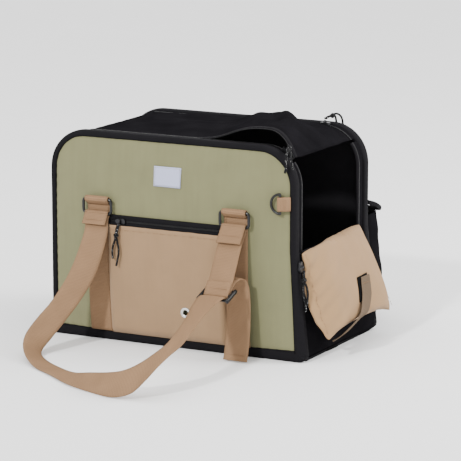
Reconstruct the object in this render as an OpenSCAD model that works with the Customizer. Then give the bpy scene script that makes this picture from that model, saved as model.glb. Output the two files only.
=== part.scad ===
// Soft-sided pet carrier bag with two adjustable webbing handles.
// Origin: centre of the underside. +Z up, the pocket side faces -Y, the fold-down end door faces +X.

/* [Bag] */
// Overall width of the front and back panels at the top
bag_w = 400; // [380:1:430]
// Overall depth between the outer faces of the two bindings
bag_d = 246; // [240:1:260]
// Overall height of the panels
bag_h = 308; // [300:1:320]
// Radius of the two upper corners
corner_r = 58; // [45:1:65]
// Extra width that the right side gains towards the floor
flare = 13; // [0:1:16]
// How far the padded panels swell outwards at their middle
panel_swell = 13; // [8:1:16]
// Width of the bound edge
binding_w = 9.5; // [8:0.5:11]
// Height of the bound edge along the floor
foot_w = 16; // [12:0.5:18]
// Height of the sill below the end opening
sill_z = 156; // [150:1:165]

/* [Pocket] */
// Half width of the front pocket
pocket_half = 93; // [85:1:93]
// Height of the pocket's top seam
pocket_top = 174; // [150:1:176]
// Clear depth inside the pocket
pocket_room = 6; // [5:0.5:8]
// Bore diameter of the pocket's eyelet
eyelet_bore = 8; // [6:0.5:10]

/* [Webbing] */
// Width of the handle webbing
web_w = 38; // [30:1:38]
// Thickness of the handle webbing
web_t = 2; // [1.5:0.1:2.4]
// Distance of each sewn webbing from the bag's middle
web_x = 112; // [108:1:116]
// Height of the handle rings' hinge line
ring_z = 212; // [205:1:220]

/* [End door] */
// Length of the padded door from its hinge to its free edge
door_l = 130; // [110:1:132]
// Width of the padded door
door_w = 212; // [200:1:214]
// Angle of the open door from straight down
door_lean = 21; // [18:1:26]

/* [Hidden] */

half_w = bag_w / 2;
half_d = bag_d / 2;
face_y = half_d - 3;          // seam plane of the padded panels
inner_y = half_d - 12;        // inner face of the padded panels
seam_y = half_d - 15;         // inner edge of the bindings
wall_t = 3;                   // end walls and top
wall_in = 3;                  // end walls lie this far inside the outline
ring_wire = 4.4;
loop_in = ring_wire / 2 + 0.45;
loop_out = loop_in + web_t;
cord_d = 3.2;

black = [0.06, 0.06, 0.065];
green = [0.62, 0.64, 0.48];
beige = [0.74, 0.61, 0.48];
webbing = [0.70, 0.56, 0.43];

// ---------- outlines and surfaces ----------

// half width of the right or left side at height z, inside a margin
function flare_at(z, s) = s > 0 ? flare * max(0, 1 - z / 160) : 0;
function side_x(z, s, margin) =
  let (r = corner_r - margin, zc = bag_h - corner_r, over = max(0, z - zc))
  half_w - corner_r + sqrt(max(0, r * r - over * over)) + flare_at(z, s) * (over > 0 ? 0 : 1);

// outward swell of a padded panel
function swell(x, z) =
  let (u = min(1, abs(x) / half_w), v = min(1, max(0, z / bag_h)))
  panel_swell * (1 - pow(u, 4)) * pow(sin(180 * v), 0.7);
function face(x, z) = -(face_y + swell(x, z));

// outline of the bag seen from the front, inset by a margin
module outline(margin, floor_z) {
  r = corner_r - margin;
  w = half_w - margin;
  translate([-w, floor_z]) square([2 * w, bag_h - corner_r - floor_z]);
  for (s = [-1, 1]) translate([s * (half_w - corner_r), bag_h - corner_r]) circle(r, $fn = 64);
  translate([corner_r - half_w, floor_z]) square([2 * (half_w - corner_r), bag_h - margin - floor_z]);
  polygon([[0, floor_z], [w + flare_at(floor_z, 1), floor_z], [w, 160], [0, 160]]);
}

// closed solid between two grids of points that have the same rows and columns
module skin(a, b) {
  n = len(a);
  m = len(a[0]);
  function at(s, i, j) = (s * n + i) * m + j;
  points = [for (g = [a, b]) for (row = g) for (p = row) p];
  sheets = [for (i = [0:n - 2]) for (j = [0:m - 2]) each [
    [at(0, i, j), at(0, i, j + 1), at(0, i + 1, j + 1)], [at(0, i, j), at(0, i + 1, j + 1), at(0, i + 1, j)],
    [at(1, i, j), at(1, i + 1, j + 1), at(1, i, j + 1)],
    [at(1, i, j), at(1, i + 1, j), at(1, i + 1, j + 1)]]];
  sides = [for (i = [0:n - 2]) for (j = [0, m - 1]) each j == 0
    ? [[at(0, i, j), at(0, i + 1, j), at(1, i + 1, j)], [at(0, i, j), at(1, i + 1, j), at(1, i, j)]]
    : [[at(0, i, j), at(1, i + 1, j), at(0, i + 1, j)], [at(0, i, j), at(1, i, j), at(1, i + 1, j)]]];
  ends = [for (j = [0:m - 2]) for (i = [0, n - 1]) each i == 0
    ? [[at(0, i, j), at(1, i, j + 1), at(0, i, j + 1)], [at(0, i, j), at(1, i, j), at(1, i, j + 1)]]
    : [[at(0, i, j), at(0, i, j + 1), at(1, i, j + 1)], [at(0, i, j), at(1, i, j + 1), at(1, i, j)]]];
  polyhedron(points, concat(sheets, sides, ends));
}

// smooth curve through hand-set points, steps pieces between each two
function curve(p, steps) = let (n = len(p)) concat(
  [for (i = [0:n - 2]) for (k = [0:steps - 1]) let (
    t = k / steps, a = p[max(0, i - 1)], b = p[i], c = p[i + 1], d = p[min(n - 1, i + 2)])
    ((2 * b) + (c - a) * t + (2 * a - 5 * b + 4 * c - d) * t * t + (3 * b - a - 3 * c + d) * t * t * t) / 2],
  [p[n - 1]]);
function unit(v) = v / norm(v);
function along(p, i) = unit(p[min(len(p) - 1, i + 1)] - p[max(0, i - 1)]);

// flat strap between two edge curves, each entry of route is [left edge, right edge]
module strap(route, steps, t) {
  left = curve([for (r = route) r[0]], steps);
  right = curve([for (r = route) r[1]], steps);
  up = [for (i = [0:len(left) - 1])
    unit(cross(along(left, i) + along(right, i), right[i] - left[i])) * t / 2];
  skin([for (i = [0:len(up) - 1]) [left[i] + up[i], right[i] + up[i]]],
       [for (i = [0:len(up) - 1]) [left[i] - up[i], right[i] - up[i]]]);
}

// round tube along hand-set points
module tube(route, d, sides) {
  rings = [for (i = [0:len(route) - 1]) let (
    t = along(route, i), u = unit(cross(t, abs(t[0]) > 0.8 ? [0, 1, 0] : [1, 0, 0])), v = cross(t, u))
    [for (k = [0:sides - 1]) route[i] + (u * cos(360 * k / sides) + v * sin(360 * k / sides)) * d / 2]];
  n = len(rings);
  points = [for (r = rings) for (q = r) q];
  walls = [for (i = [0:n - 2]) for (k = [0:sides - 1]) let (
    a = i * sides + k, b = i * sides + (k + 1) % sides) each [[a, a + sides, b], [b, a + sides, b + sides]]];
  caps = [[for (k = [0:sides - 1]) k], [for (k = [0:sides - 1]) n * sides - 1 - k]];
  polyhedron(points, concat(walls, caps));
}

// strip that follows the swollen front face, standing off it by near and far
module face_strip(x0, x1, z0, z1, near, far, columns, rows) {
  function px(j) = x0 + (x1 - x0) * j / columns;
  function pz(i) = z0 + (z1 - z0) * i / rows;
  skin([for (i = [0:rows]) [for (j = [0:columns]) [px(j), face(px(j), pz(i)) - near, pz(i)]]],
       [for (i = [0:rows]) [for (j = [0:columns]) [px(j), face(px(j), pz(i)) - far, pz(i)]]]);
}

module turned() { rotate([0, 0, 180]) children(); }

// ---------- base ----------

module base_panel() { color(black)
  linear_extrude(3) polygon([[-half_w + 2, -seam_y], [half_w + flare - 2, -seam_y],
                             [half_w + flare - 2, seam_y], [-half_w + 2, seam_y]]);
}
module base_board() { color([0.35, 0.35, 0.36]) translate([-184, -102, 3.2]) cube([370, 204, 3]); }
module floor_mat() { color([0.2, 0.2, 0.21])
  skin([for (i = [0:8]) [for (j = [0:12]) [-182 + 366 * j / 12, -100 + 25 * i, 6.4]]],
       [for (i = [0:8]) [for (j = [0:12]) let (e = min(i, 8 - i, j, 12 - j))
         [-182 + 366 * j / 12, -100 + 25 * i, e == 0 ? 11 : e == 1 ? 18 : 20]]]);
}

// ---------- padded panels and their bound edges ----------

panel_margin = binding_w + 0.5;
panel_foot = foot_w + 0.5;
panel_rows = concat([for (i = [0:11]) panel_foot + (bag_h - corner_r - panel_foot) * i / 11],
                    [for (a = [15:15:90]) bag_h - corner_r + (corner_r - panel_margin) * sin(a)]);
panel_columns = [-1, -0.97, -0.9, -0.8, -0.65, -0.5, -0.33, -0.16, 0,
                 0.16, 0.33, 0.5, 0.65, 0.8, 0.9, 0.97, 1];
function panel_x(s, z) = s * side_x(z, s, panel_margin);

module padded_panel() {
  skin([for (z = panel_rows) [for (s = panel_columns) [panel_x(s, z), -inner_y, z]]],
       [for (z = panel_rows) [for (s = panel_columns) let (x = panel_x(s, z)) [x, face(x, z), z]]]);
}
module bound_edge() {
  rotate([90, 0, 0]) translate([0, 0, seam_y]) linear_extrude(half_d - seam_y) difference() {
    outline(0, 0);
    outline(binding_w, foot_w);
  }
}
module front_panel() { color(green) padded_panel(); }
module front_binding() { color(black) bound_edge(); }
module back_panel() { color(green) mirror([0, 1, 0]) padded_panel(); }
module back_binding() { color(black) mirror([0, 1, 0]) bound_edge(); }

// ---------- end walls and top ----------

strip_y = seam_y - 0.3;

top_start = -150;              // the zipped part of the top starts here
flap_hinge_y = 25;
flap_end_angle = 52;           // how far the flap wraps round the right upper corner

module gusset(y0, y1) {
  translate([0, y1, 0]) rotate([90, 0, 0]) linear_extrude(y1 - y0) intersection() {
    difference() {
      outline(wall_in, 3.2);
      outline(wall_in + wall_t, -1);
    }
    children();
  }
}
module top_slice(x0) {
  corner = half_w - corner_r;
  polygon([[x0, bag_h - 20], [corner, bag_h - corner_r],
           [corner + 90 * sin(flap_end_angle), bag_h - corner_r + 90 * cos(flap_end_angle)],
           [corner, bag_h + 30], [x0, bag_h + 30]]);
}
window = [-80, 80, 90, 255];   // y and z limits of the mesh window

module left_end_wall() { color(black) difference() {
    gusset(-seam_y + 0.3, seam_y - 0.3) translate([-half_w - 1, 0]) square([half_w + top_start, bag_h + 1]);
    translate([-half_w - 5, window[0], window[2]]) cube([20, window[1] - window[0], window[3] - window[2]]);
  }
}
module left_end_mesh() { color([0.15, 0.15, 0.16])
  translate([-half_w + wall_in + 1, window[0] + 0.2, window[2] + 0.2])
    cube([1.2, window[1] - window[0] - 0.4, window[3] - window[2] - 0.4]);
}

// lower right wall, pushed outwards by what lies inside
function wall_x(y, z) = half_w - 3 + flare_at(z, 1)
  + 9 * sin(180 * min(1, z / sill_z)) * (1 - pow(abs(y) / half_d, 6)) * (0.75 + 0.25 * y / half_d);
wall_rows = [for (i = [0:12]) 3.2 + (sill_z - 9.2) * i / 12];
wall_columns = [for (j = [-6:6]) (seam_y - 0.4) * j / 6];
module right_end_wall() { color(black)
  skin([for (z = wall_rows) [for (y = wall_columns) [wall_x(y, z) - wall_t, y, z]]],
       [for (z = wall_rows) [for (y = wall_columns) [wall_x(y, z), y, z]]]);
}
// sill with the two posts that frame the end opening
module end_opening_posts() { color(black) {
    translate([half_w - 7, -seam_y + 0.3, sill_z - 5.6]) cube([4.6, 2 * seam_y - 0.6, 5.4]);
    for (s = [-1, 1]) intersection() {
      gusset(s < 0 ? -seam_y + 0.3 : 92, s < 0 ? -98 : seam_y - 0.3)
        translate([100, sill_z]) square([120, bag_h]);
      translate([half_w - 60, -half_d, sill_z]) cube([80, bag_d, 125]);
    }
  }
}
module top_rear_panel() { color(black) {
    gusset(flap_hinge_y + 1, strip_y - 14.3) top_slice(top_start + 0.3);
    translate([top_start + 4, 70, bag_h - wall_in]) rotate([0, 90, 0]) cylinder(2 * 140, r = 4, $fn = 32);
  }
}
// fixed strip beside a binding, and the zip tape along it
module edge_strip() { gusset(-strip_y, -strip_y + 7) top_slice(top_start + 0.3); }
module edge_tape() {
  translate([0, -strip_y + 14, 0]) rotate([90, 0, 0]) linear_extrude(6.6) intersection() {
    difference() {
      outline(wall_in + 0.6, 100);
      outline(wall_in + 2, 90);
    }
    top_slice(top_start + 0.3);
  }
}
module top_front_strip() { color(black) edge_strip(); }
module top_zip_tape() { color([0.03, 0.03, 0.03]) edge_tape(); }
module top_rear_strip() { color(black) mirror([0, 1, 0]) edge_strip(); }
module top_rear_zip_tape() { color([0.03, 0.03, 0.03]) mirror([0, 1, 0]) edge_tape(); }
module top_flap() { color(black)
  gusset(-strip_y + 20, flap_hinge_y - 3) top_slice(top_start + 1.2);
}
module top_flap_binding() { color([0.03, 0.03, 0.03])
  translate([0, -strip_y + 19.7, 0]) rotate([90, 0, 0]) linear_extrude(5) intersection() {
    difference() {
      outline(wall_in - 0.5, 100);
      outline(wall_in + wall_t + 0.5, 90);
    }
    top_slice(top_start + 1.2);
  }
}

// ---------- front pocket, eyelet and label ----------

eyelet = [33, 58];             // x and z of the eyelet
function room(x, z) = pocket_room + 2.2 * (1 - pow(x / pocket_half, 2)) * sin(180 * z / pocket_top);
pocket_foot = panel_foot + 0.5;
function pocket_edge(x, z) = min(1, min(pocket_half - abs(x), z - pocket_foot) / 6);
function pocket_at(v) = pocket_foot + v * (pocket_top - pocket_foot);
pocket_x = [-1, -0.94, -0.85, -0.6, -0.3, 0, 0.3, 0.6, 0.85, 0.94, 1];
pocket_z = [0, 0.05, 0.15, 0.35, 0.6, 0.8, 1];
module front_pocket() { color(beige) difference() {
    skin([for (v = pocket_z) [for (s = pocket_x) let (x = s * pocket_half, z = pocket_at(v))
           [x, face(x, z) - 0.3 - (pocket_edge(x, z) > 0.5 ? room(x, z) : 0), z]]],
         [for (v = pocket_z) [for (s = pocket_x) let (x = s * pocket_half, z = pocket_at(v))
           [x, face(x, z) - 1.8 - room(x, z) * (pocket_edge(x, z) > 0 ? 1 : 0.25), z]]]);
    translate([eyelet[0], -150, eyelet[1]]) rotate([-90, 0, 0])
      cylinder(24, d = eyelet_bore + 4.4, $fn = 32);
  }
}
eyelet_y = face(eyelet[0], eyelet[1]) - room(eyelet[0], eyelet[1]);
module pocket_eyelet() { color("silver")
  translate([eyelet[0], eyelet_y + 0.2, eyelet[1]]) rotate([90, 0, 0]) rotate_extrude($fn = 48) polygon([
    [eyelet_bore / 2, 0], [eyelet_bore / 2 + 2, 0], [eyelet_bore / 2 + 2, 2.6], [eyelet_bore / 2 + 4, 2.6],
    [eyelet_bore / 2 + 3.4, 3.8], [eyelet_bore / 2 + 1, 4], [eyelet_bore / 2, 3.4]]);
}
zip_z = 182;
module pocket_zip_tape() { color([0.03, 0.03, 0.03]) {
    face_strip(-pocket_half, pocket_half, pocket_top + 0.4, zip_z + 8, 0.3, 3, 10, 2);
  }
}
module blank_label() { color("white") face_strip(-23, 21, 237, 266, 0.3, 1.1, 2, 2); }

// ---------- sewn webbings with the loops that hold the rings ----------

low_bar_z = ring_z - 21;
wrap_r = ring_wire / 2 + 0.3 + web_t;
ring_y = face(web_x, low_bar_z) - 1.4 - web_t - wrap_r;
module sewn_webbing(s) {
  x0 = s * web_x - web_w / 2;
  face_strip(x0, x0 + web_w, panel_foot, ring_z - loop_out - 1, 0.3, 0.3 + web_t, 3, 12);
  translate([s * web_x, ring_y, ring_z]) rotate([0, 90, 0]) difference() {
    cylinder(web_w, r = loop_out, center = true, $fn = 48);
    cylinder(web_w + 1, r = loop_in, center = true, $fn = 48);
  }
  translate([x0, ring_y + loop_in + 0.5, ring_z - 3])
    cube([web_w, face(web_x, ring_z) - ring_y - loop_in - 1, 5]);
}
module front_webbing_left() { color(webbing) sewn_webbing(-1); }
module front_webbing_right() { color(webbing) sewn_webbing(1); }
module back_webbing_left() { color(webbing) turned() sewn_webbing(1); }
module back_webbing_right() { color(webbing) turned() sewn_webbing(-1); }

// ---------- D-ring on its tab ----------

d_bar = [180, -131, 228];
d_wire = 3.8;
module d_ring_tab() { color(webbing) {
    translate([d_bar[0] + 4.6, -half_d - 3.1, d_bar[2] - 10]) cube([10, 2.6, 20]);
    translate(d_bar) difference() {
      cylinder(20, r = d_wire / 2 + 2.2, center = true, $fn = 40);
      cylinder(21, r = d_wire / 2 + 0.35, center = true, $fn = 40);
    }
  }
}
module d_ring() { color(black) translate(d_bar) {
    cylinder(30, d = d_wire, center = true, $fn = 32);
    intersection() {
      rotate([90, 0, 0]) rotate_extrude($fn = 64) translate([14, 0]) circle(d = d_wire, $fn = 24);
      translate([-40, -10, -20]) cube([40, 20, 40]);
    }
  }
}

// ---------- bottle pocket behind the right rear corner ----------

pouch_x0 = 138;
pouch_x1 = 198;
pouch_rows = [12.5, 40, 76, 105, 135, 168];
pouch_depth = [62, 77, 78, 68, 57, 50];
function pouch_root(x, z) = min(face(x, z), -half_d) - 0.4;
// closed pouch shape that stands in from its own walls by inset, with its mouth raised by lift
module pouch(inset, lift) {
  rows = [for (i = [0:5])
    i == 0 ? pouch_rows[0] + inset : i == 5 ? pouch_rows[5] + lift : pouch_rows[i]];
  x0 = pouch_x0 + inset;
  w = pouch_x1 - pouch_x0 - 2 * inset;
  skin([for (z = rows) [for (j = [0:8]) [x0 + w * j / 8, pouch_root(x0 + w * j / 8, z) - inset, z]]],
       [for (i = [0:5]) [for (j = [0:8])
         [x0 + w * j / 8, inset - half_d - pouch_depth[i] * pow(sin(20 + 17.5 * j), 0.3), rows[i]]]]);
}
module bottle_pocket() { color(black) mirror([0, 1, 0]) difference() {
    pouch(0, 0);
    pouch(2.2, 3);
  }
}
module bottle_pocket_rim() { color(black)
  tube([[197, half_d + 3, 190], [202, half_d + 18, 185], [202, half_d + 34, 178], [197, half_d + 46, 174],
        [184, half_d + 53, 172], [158, half_d + 54, 172], [143, half_d + 46, 173], [136, half_d + 30, 176],
        [136, half_d + 12, 180]], 4, 8);
}

// ---------- zip sliders and their cord pulls ----------

// slider that runs along X with its back at y = 0, facing -Y
module slider() {
  hull() for (x = [-4.2, 4.2]) translate([x, 0, 0]) rotate([90, 0, 0])
    cylinder(3.2, r = x < 0 ? 3.4 : 4.2, $fn = 24);
  translate([0, -3, 0]) rotate([0, 90, 0]) difference() {
    cylinder(2.4, r = 3.6, center = true, $fn = 32);
    cylinder(3, r = 2, center = true, $fn = 32);
  }
}
module pull(knot, tails) {
  for (route = tails) tube(route, cord_d, 8);
  translate(knot) sphere(4.2, $fn = 24);
}

pocket_slider = [-74, face(74, zip_z) - 4.1, zip_z];
module pocket_zip_slider() { color([0.05, 0.05, 0.05]) translate(pocket_slider) slider(); }
pocket_pull_a = [[-73, -144, 178], [-74, -147, 171], [-76, -148, 163], [-79, -147, 154],
                 [-82, -147, 145], [-83, -147, 136], [-82, -147, 128]];
pocket_pull_b = [[-75, -144, 178], [-76, -147, 171], [-76, -148, 163], [-74, -148, 154],
                 [-72, -148, 145], [-72, -148, 136], [-74, -148, 126], [-76, -148, 118]];
module pocket_zip_cord() { color([0.1, 0.1, 0.1]) pull([-76, -148, 163], [pocket_pull_a, pocket_pull_b]); }

// the slider of the front top zip sits round the corner, turned this far from the top
top_slider_angle = 33;
module top_zip_slider() { color([0.3, 0.3, 0.3])
  translate([half_w - corner_r, -strip_y + 11, bag_h - corner_r]) rotate([0, top_slider_angle, 0])
    translate([0, 0, corner_r - wall_in + 1.6]) rotate([-90, 0, 0]) slider();
}
top_pull_a = [[179, -99, 304.5], [181, -104, 305.5], [184, -111, 304], [189, -118, 302], [193, -125, 298],
              [196, -129, 292], [198, -130, 285], [199, -130, 278]];
top_pull_b = [[177, -99, 306], [179, -104, 307], [184, -111, 304], [186, -119, 305], [189, -127, 302],
              [190, -131, 296], [190, -132, 288], [189, -132, 280], [188, -132, 273]];
module top_zip_cord() { color([0.1, 0.1, 0.1]) pull([184, -111, 304.5], [top_pull_a, top_pull_b]); }

end_slider = [half_w + 3.4, -115, 138];
module end_zip_slider() { color([0.05, 0.05, 0.05])
  translate(end_slider) rotate([0, 0, 90]) rotate([0, 90, 0]) slider();
}
end_pull_a = [[210.5, -116, 133], [211.5, -117, 127], [212, -118, 119], [211.5, -119, 110], [212, -120, 101],
              [213.5, -119, 92], [214.5, -118, 83], [215, -118, 75]];
end_pull_b = [[210.5, -114, 133], [210.5, -115, 127], [212, -118, 119], [215, -116, 110], [217, -116, 101],
              [217, -117, 92], [217, -119, 84]];
module end_zip_cord() { color([0.1, 0.1, 0.1]) pull([212, -118, 120], [end_pull_a, end_pull_b]); }

rear_slider = [140, strip_y - 11, bag_h - wall_in + 1.6];
module rear_zip_slider() { color([0.05, 0.05, 0.05]) translate(rear_slider) rotate([-90, 0, 0]) slider(); }
rear_pull_a = [[141, 98, 315.2], [143, 104.5, 317.5], [145, 112, 319], [147, 120, 320], [149, 128, 317],
               [150, 134, 311], [150, 137, 303], [150, 138, 295]];
rear_pull_b = [[139, 98, 315.2], [142, 105, 317.5], [145, 112, 319], [143, 120, 318], [142, 128, 314],
               [141, 133, 307], [141, 136, 299], [142, 137, 291], [142, 137, 284]];
module rear_zip_cord() { color([0.1, 0.1, 0.1]) pull([145, 112, 318], [rear_pull_a, rear_pull_b]); }

// ---------- padded end door, folded down ----------

hinge_x = half_w + 0.6;
hinge_z = sill_z + 2;
// point of the door: s along it from the hinge, h off its face towards the wall, y across
function door_point(s, y, h) = [hinge_x + s * sin(door_lean) - h * cos(door_lean), y,
                                hinge_z - s * cos(door_lean) - h * sin(door_lean)];
pillow_s = [0.015, 0.06, 0.14, 0.26, 0.4, 0.55, 0.7, 0.83, 0.93, 0.985, 1];
pillow_y = [-1, -0.95, -0.85, -0.65, -0.4, -0.13, 0.13, 0.4, 0.65, 0.85, 0.95, 1];
function pillow_full(s, y) = pow(max(0, sin(180 * s)), 0.55) * pow(max(0, 1 - pow(abs(y), 3.2)), 0.7);
function pillow_mid(y) = -2 + y * door_w / 2;
// the pillow swells by face_room on its own face and by wall_room on the side of the wall
face_room = 11;
wall_room = 9.4;
function pillow_back(s, y, h) =
  door_point(2 + s * (door_l - 2), pillow_mid(y), h + wall_room * pillow_full(s, y) * min(1, s * 3));
module door_pillow() { color(beige)
  skin([for (s = pillow_s) [for (y = pillow_y)
         door_point(2 + s * (door_l - 2), pillow_mid(y), -1 - face_room * pillow_full(s, y))]],
       [for (s = pillow_s) [for (y = pillow_y) pillow_back(s, y, 0.6)]]);
}
backing_s = [for (s = pillow_s) if (s < 0.95) s];
backing_y = [for (y = pillow_y) if (abs(y) < 1) y];
module door_backing() { color(black)
  skin([for (s = backing_s) [for (y = backing_y) pillow_back(s, y, 1)]],
       [for (s = backing_s) [for (y = backing_y) pillow_back(s, y, 2.4)]]);
}
module pillow_hook_patch() { color([0.04, 0.04, 0.04])
  skin([for (s = [54, 66, 78, 90]) [for (y = [13, 31, 49]) door_point(s, y, -12.3)]],
       [for (s = [54, 66, 78, 90]) [for (y = [13, 31, 49]) door_point(s, y, -13.6)]]);
}
// runs down the face, turns on edge and crosses below the pillow to the foot of the wall
module pillow_strap() { color(webbing)
  strap([[[235, 23, 109], [235, 49, 109]], [[241.4, 23, 93.3], [241.4, 49, 93.3]],
         [[248, 19, 78], [247.5, 46, 77]], [[254, 10, 73], [250.5, 34, 67]],
         [[262, -16, 70], [252, 0, 57]], [[263, -36, 66], [251, -24, 49.5]],
         [[260, -57, 57], [253.5, -42, 46]], [[254, -64, 48], [251.5, -48, 40]],
         [[250, -64, 35], [246.5, -47, 31.5]], [[240, -63, 30], [234, -42, 27]],
         [[228, -56, 25], [222, -34, 20]], [[219, -48, 19], [216.5, -30, 13]]], 2, 1.6);
}
module wall_loop_patch() { color([0.04, 0.04, 0.04])
  translate([half_w + flare - 1.6, -40, 0.6]) cube([1.6, 34, 2.2]);
}

// ---------- handles ----------

// one pair of rings on the hinge line
module rings() {
  for (s = [-1, 1]) translate([s * web_x, ring_y, ring_z]) {
    for (z = [0, -21]) translate([0, 0, z]) rotate([0, 90, 0])
      cylinder(web_w + 8, d = ring_wire, center = true, $fn = 32);
    for (x = [-1, 1]) translate([x * (web_w / 2 + 4), 0, -21]) cylinder(21, d = ring_wire, $fn = 32);
    for (x = [-1, 1]) for (z = [0, -21]) translate([x * (web_w / 2 + 4), 0, z])
      sphere(d = ring_wire, $fn = 32);
  }
}

// adjuster frame: p runs across its bars, q stands off its plane
glide = [web_x, -192, 103];
glide_tilt = 20;
function in_glide(p, q) = [glide[1] + p * cos(glide_tilt) - q * sin(glide_tilt),
                           glide[2] + p * sin(glide_tilt) + q * cos(glide_tilt)];
function flat_pair(yz, x) = [[x + web_w / 2, yz[0], yz[1]], [x - web_w / 2, yz[0], yz[1]]];

// left leg starts at the ring's lower bar
leg_start = [[[-131, ring_y - 4.4, low_bar_z - 3], [-93, ring_y - 4.4, low_bar_z - 3]],
             [[-127, -154, 160], [-89, -152, 160]]];
// over the outer bars of the adjuster and under its middle bar, then over the arch and down to the floor
threading = [for (pq = [[-13, 4.6], [-8.4, 1.6], [-5.4, -3.8], [0, -6.4], [5.4, -3.8], [8.4, 1.6], [13, 4.6]])
  flat_pair(in_glide(pq[0], pq[1]), web_x)];
tail = [for (t = [[-171, 119, 113], [-160, 122, 117], [-151, 114, 121], [-148, 92, 123], [-149, 62, 124],
                  [-152, 32, 124], [-157, 10, 124], [-160, 2.2, 124]]) flat_pair([t[0], t[1]], t[2])];
front_loop = concat(leg_start, [
  [[-134, -180, 112], [-97, -168, 111]], [[-148, -206, 73], [-111, -188, 73]],
  [[-160, -233, 48], [-124, -211, 45]], [[-162, -262, 29], [-134, -235, 22]],
  [[-146, -291, 14], [-138, -256, 6]], [[-112, -321, 3], [-112, -283, 2.4]],
  [[-66, -351, 2.4], [-68, -313, 2.4]], [[-17, -385, 2.4], [-26, -349, 10]],
  [[33, -406, 1.6], [15, -380, 22]], [[71, -416, 2], [53, -395, 30]],
  [[99, -415, 10], [78, -396, 36]], [[118, -410, 28], [96, -385, 45]],
  [[131, -398, 46], [109, -369, 56]], [[138, -378, 58], [116, -348, 65]],
  [[141, -348, 67], [114, -322, 72]], [[137, -310, 78], [108, -285, 81]],
  [[132, -262, 92], [98, -245, 92]], [[131, -222, 101], [93, -218, 100]]], threading, tail);
back_loop = concat(leg_start, [
  [[-131, -178, 116], [-93, -176, 116]], [[-131, -208, 78], [-93, -204, 78]],
  [[-130, -236, 48], [-93, -229, 46]], [[-124, -264, 22], [-89, -250, 18]],
  [[-104, -286, 7], [-76, -260, 5]], [[-66, -300, 3], [-58, -263, 3]],
  [[-16, -306, 2.4], [-18, -268, 4]], [[34, -306, 2], [26, -270, 12]],
  [[78, -302, 6], [62, -271, 26]], [[112, -290, 24], [86, -267, 42]],
  [[130, -266, 50], [98, -250, 62]], [[132, -240, 78], [94, -235, 82]],
  [[131, -216, 97], [93, -214, 97]]], threading, tail);

module ring_wrap() {
  translate([-web_x, ring_y, low_bar_z]) rotate([0, 90, 0]) difference() {
    cylinder(web_w, r = wrap_r, center = true, $fn = 48);
    cylinder(web_w + 1, r = ring_wire / 2 + 0.3, center = true, $fn = 48);
  }
}
module handle_strap(route) {
  strap(route, 2, web_t);
  ring_wrap();
}
module ladder_strap() {
  strap([for (t = [[ring_y - 4, low_bar_z - 3, 112], [-156, 167, 111], [-168, 147, 111], [-178, 128, 111],
                   [glide[1] + 3, glide[2] + 5, 112]]) flat_pair([t[0], t[1]], t[2])], 2, 2 * web_t);
  mirror([1, 0, 0]) ring_wrap();
  translate(glide) rotate([0, 90, 0]) difference() {
    cylinder(web_w, r = 4.2, center = true, $fn = 40);
    cylinder(web_w + 1, r = 2.2, center = true, $fn = 40);
  }
}
module adjuster() {
  translate(glide) rotate([glide_tilt, 0, 0]) {
    for (p = [-12, 0, 12]) translate([0, p, 0]) rotate([0, 90, 0])
      cylinder(web_w + 4, d = 3.6, center = true, $fn = 32);
    for (s = [-1, 1]) translate([s * (web_w / 2 + 3.6), 0, 0]) rotate([90, 0, 0])
      cylinder(28, d = 5, center = true, $fn = 32);
  }
}
module front_rings() { color(black) rings(); }
module front_handle_strap() { color(webbing) handle_strap(front_loop); }
module front_ladder_strap() { color(webbing) ladder_strap(); }
module front_adjuster() { color(black) adjuster(); }
module back_rings() { color(black) turned() rings(); }
module back_handle_strap() { color(webbing) turned() handle_strap(back_loop); }
module back_ladder_strap() { color(webbing) turned() ladder_strap(); }
module back_adjuster() { color(black) turned() adjuster(); }

// ---------- drawing ----------

base_panel();
base_board();
floor_mat();
front_panel();
front_binding();
back_panel();
back_binding();
left_end_wall();
left_end_mesh();
right_end_wall();
end_opening_posts();
top_rear_panel();
top_front_strip();
top_zip_tape();
top_rear_strip();
top_rear_zip_tape();
top_flap();
top_flap_binding();
front_pocket();
pocket_zip_tape();
pocket_eyelet();
blank_label();
front_webbing_left();
front_webbing_right();
back_webbing_left();
back_webbing_right();
d_ring_tab();
d_ring();
bottle_pocket();
bottle_pocket_rim();
pocket_zip_slider();
pocket_zip_cord();
top_zip_slider();
top_zip_cord();
end_zip_slider();
end_zip_cord();
rear_zip_slider();
rear_zip_cord();
door_pillow();
door_backing();
pillow_strap();
pillow_hook_patch();
wall_loop_patch();
front_rings();
front_handle_strap();
front_ladder_strap();
front_adjuster();
back_rings();
back_handle_strap();
back_ladder_strap();
back_adjuster();
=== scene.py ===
import math

import bpy
from mathutils import Matrix, Vector, noise
from mathutils.bvhtree import BVHTree


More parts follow.
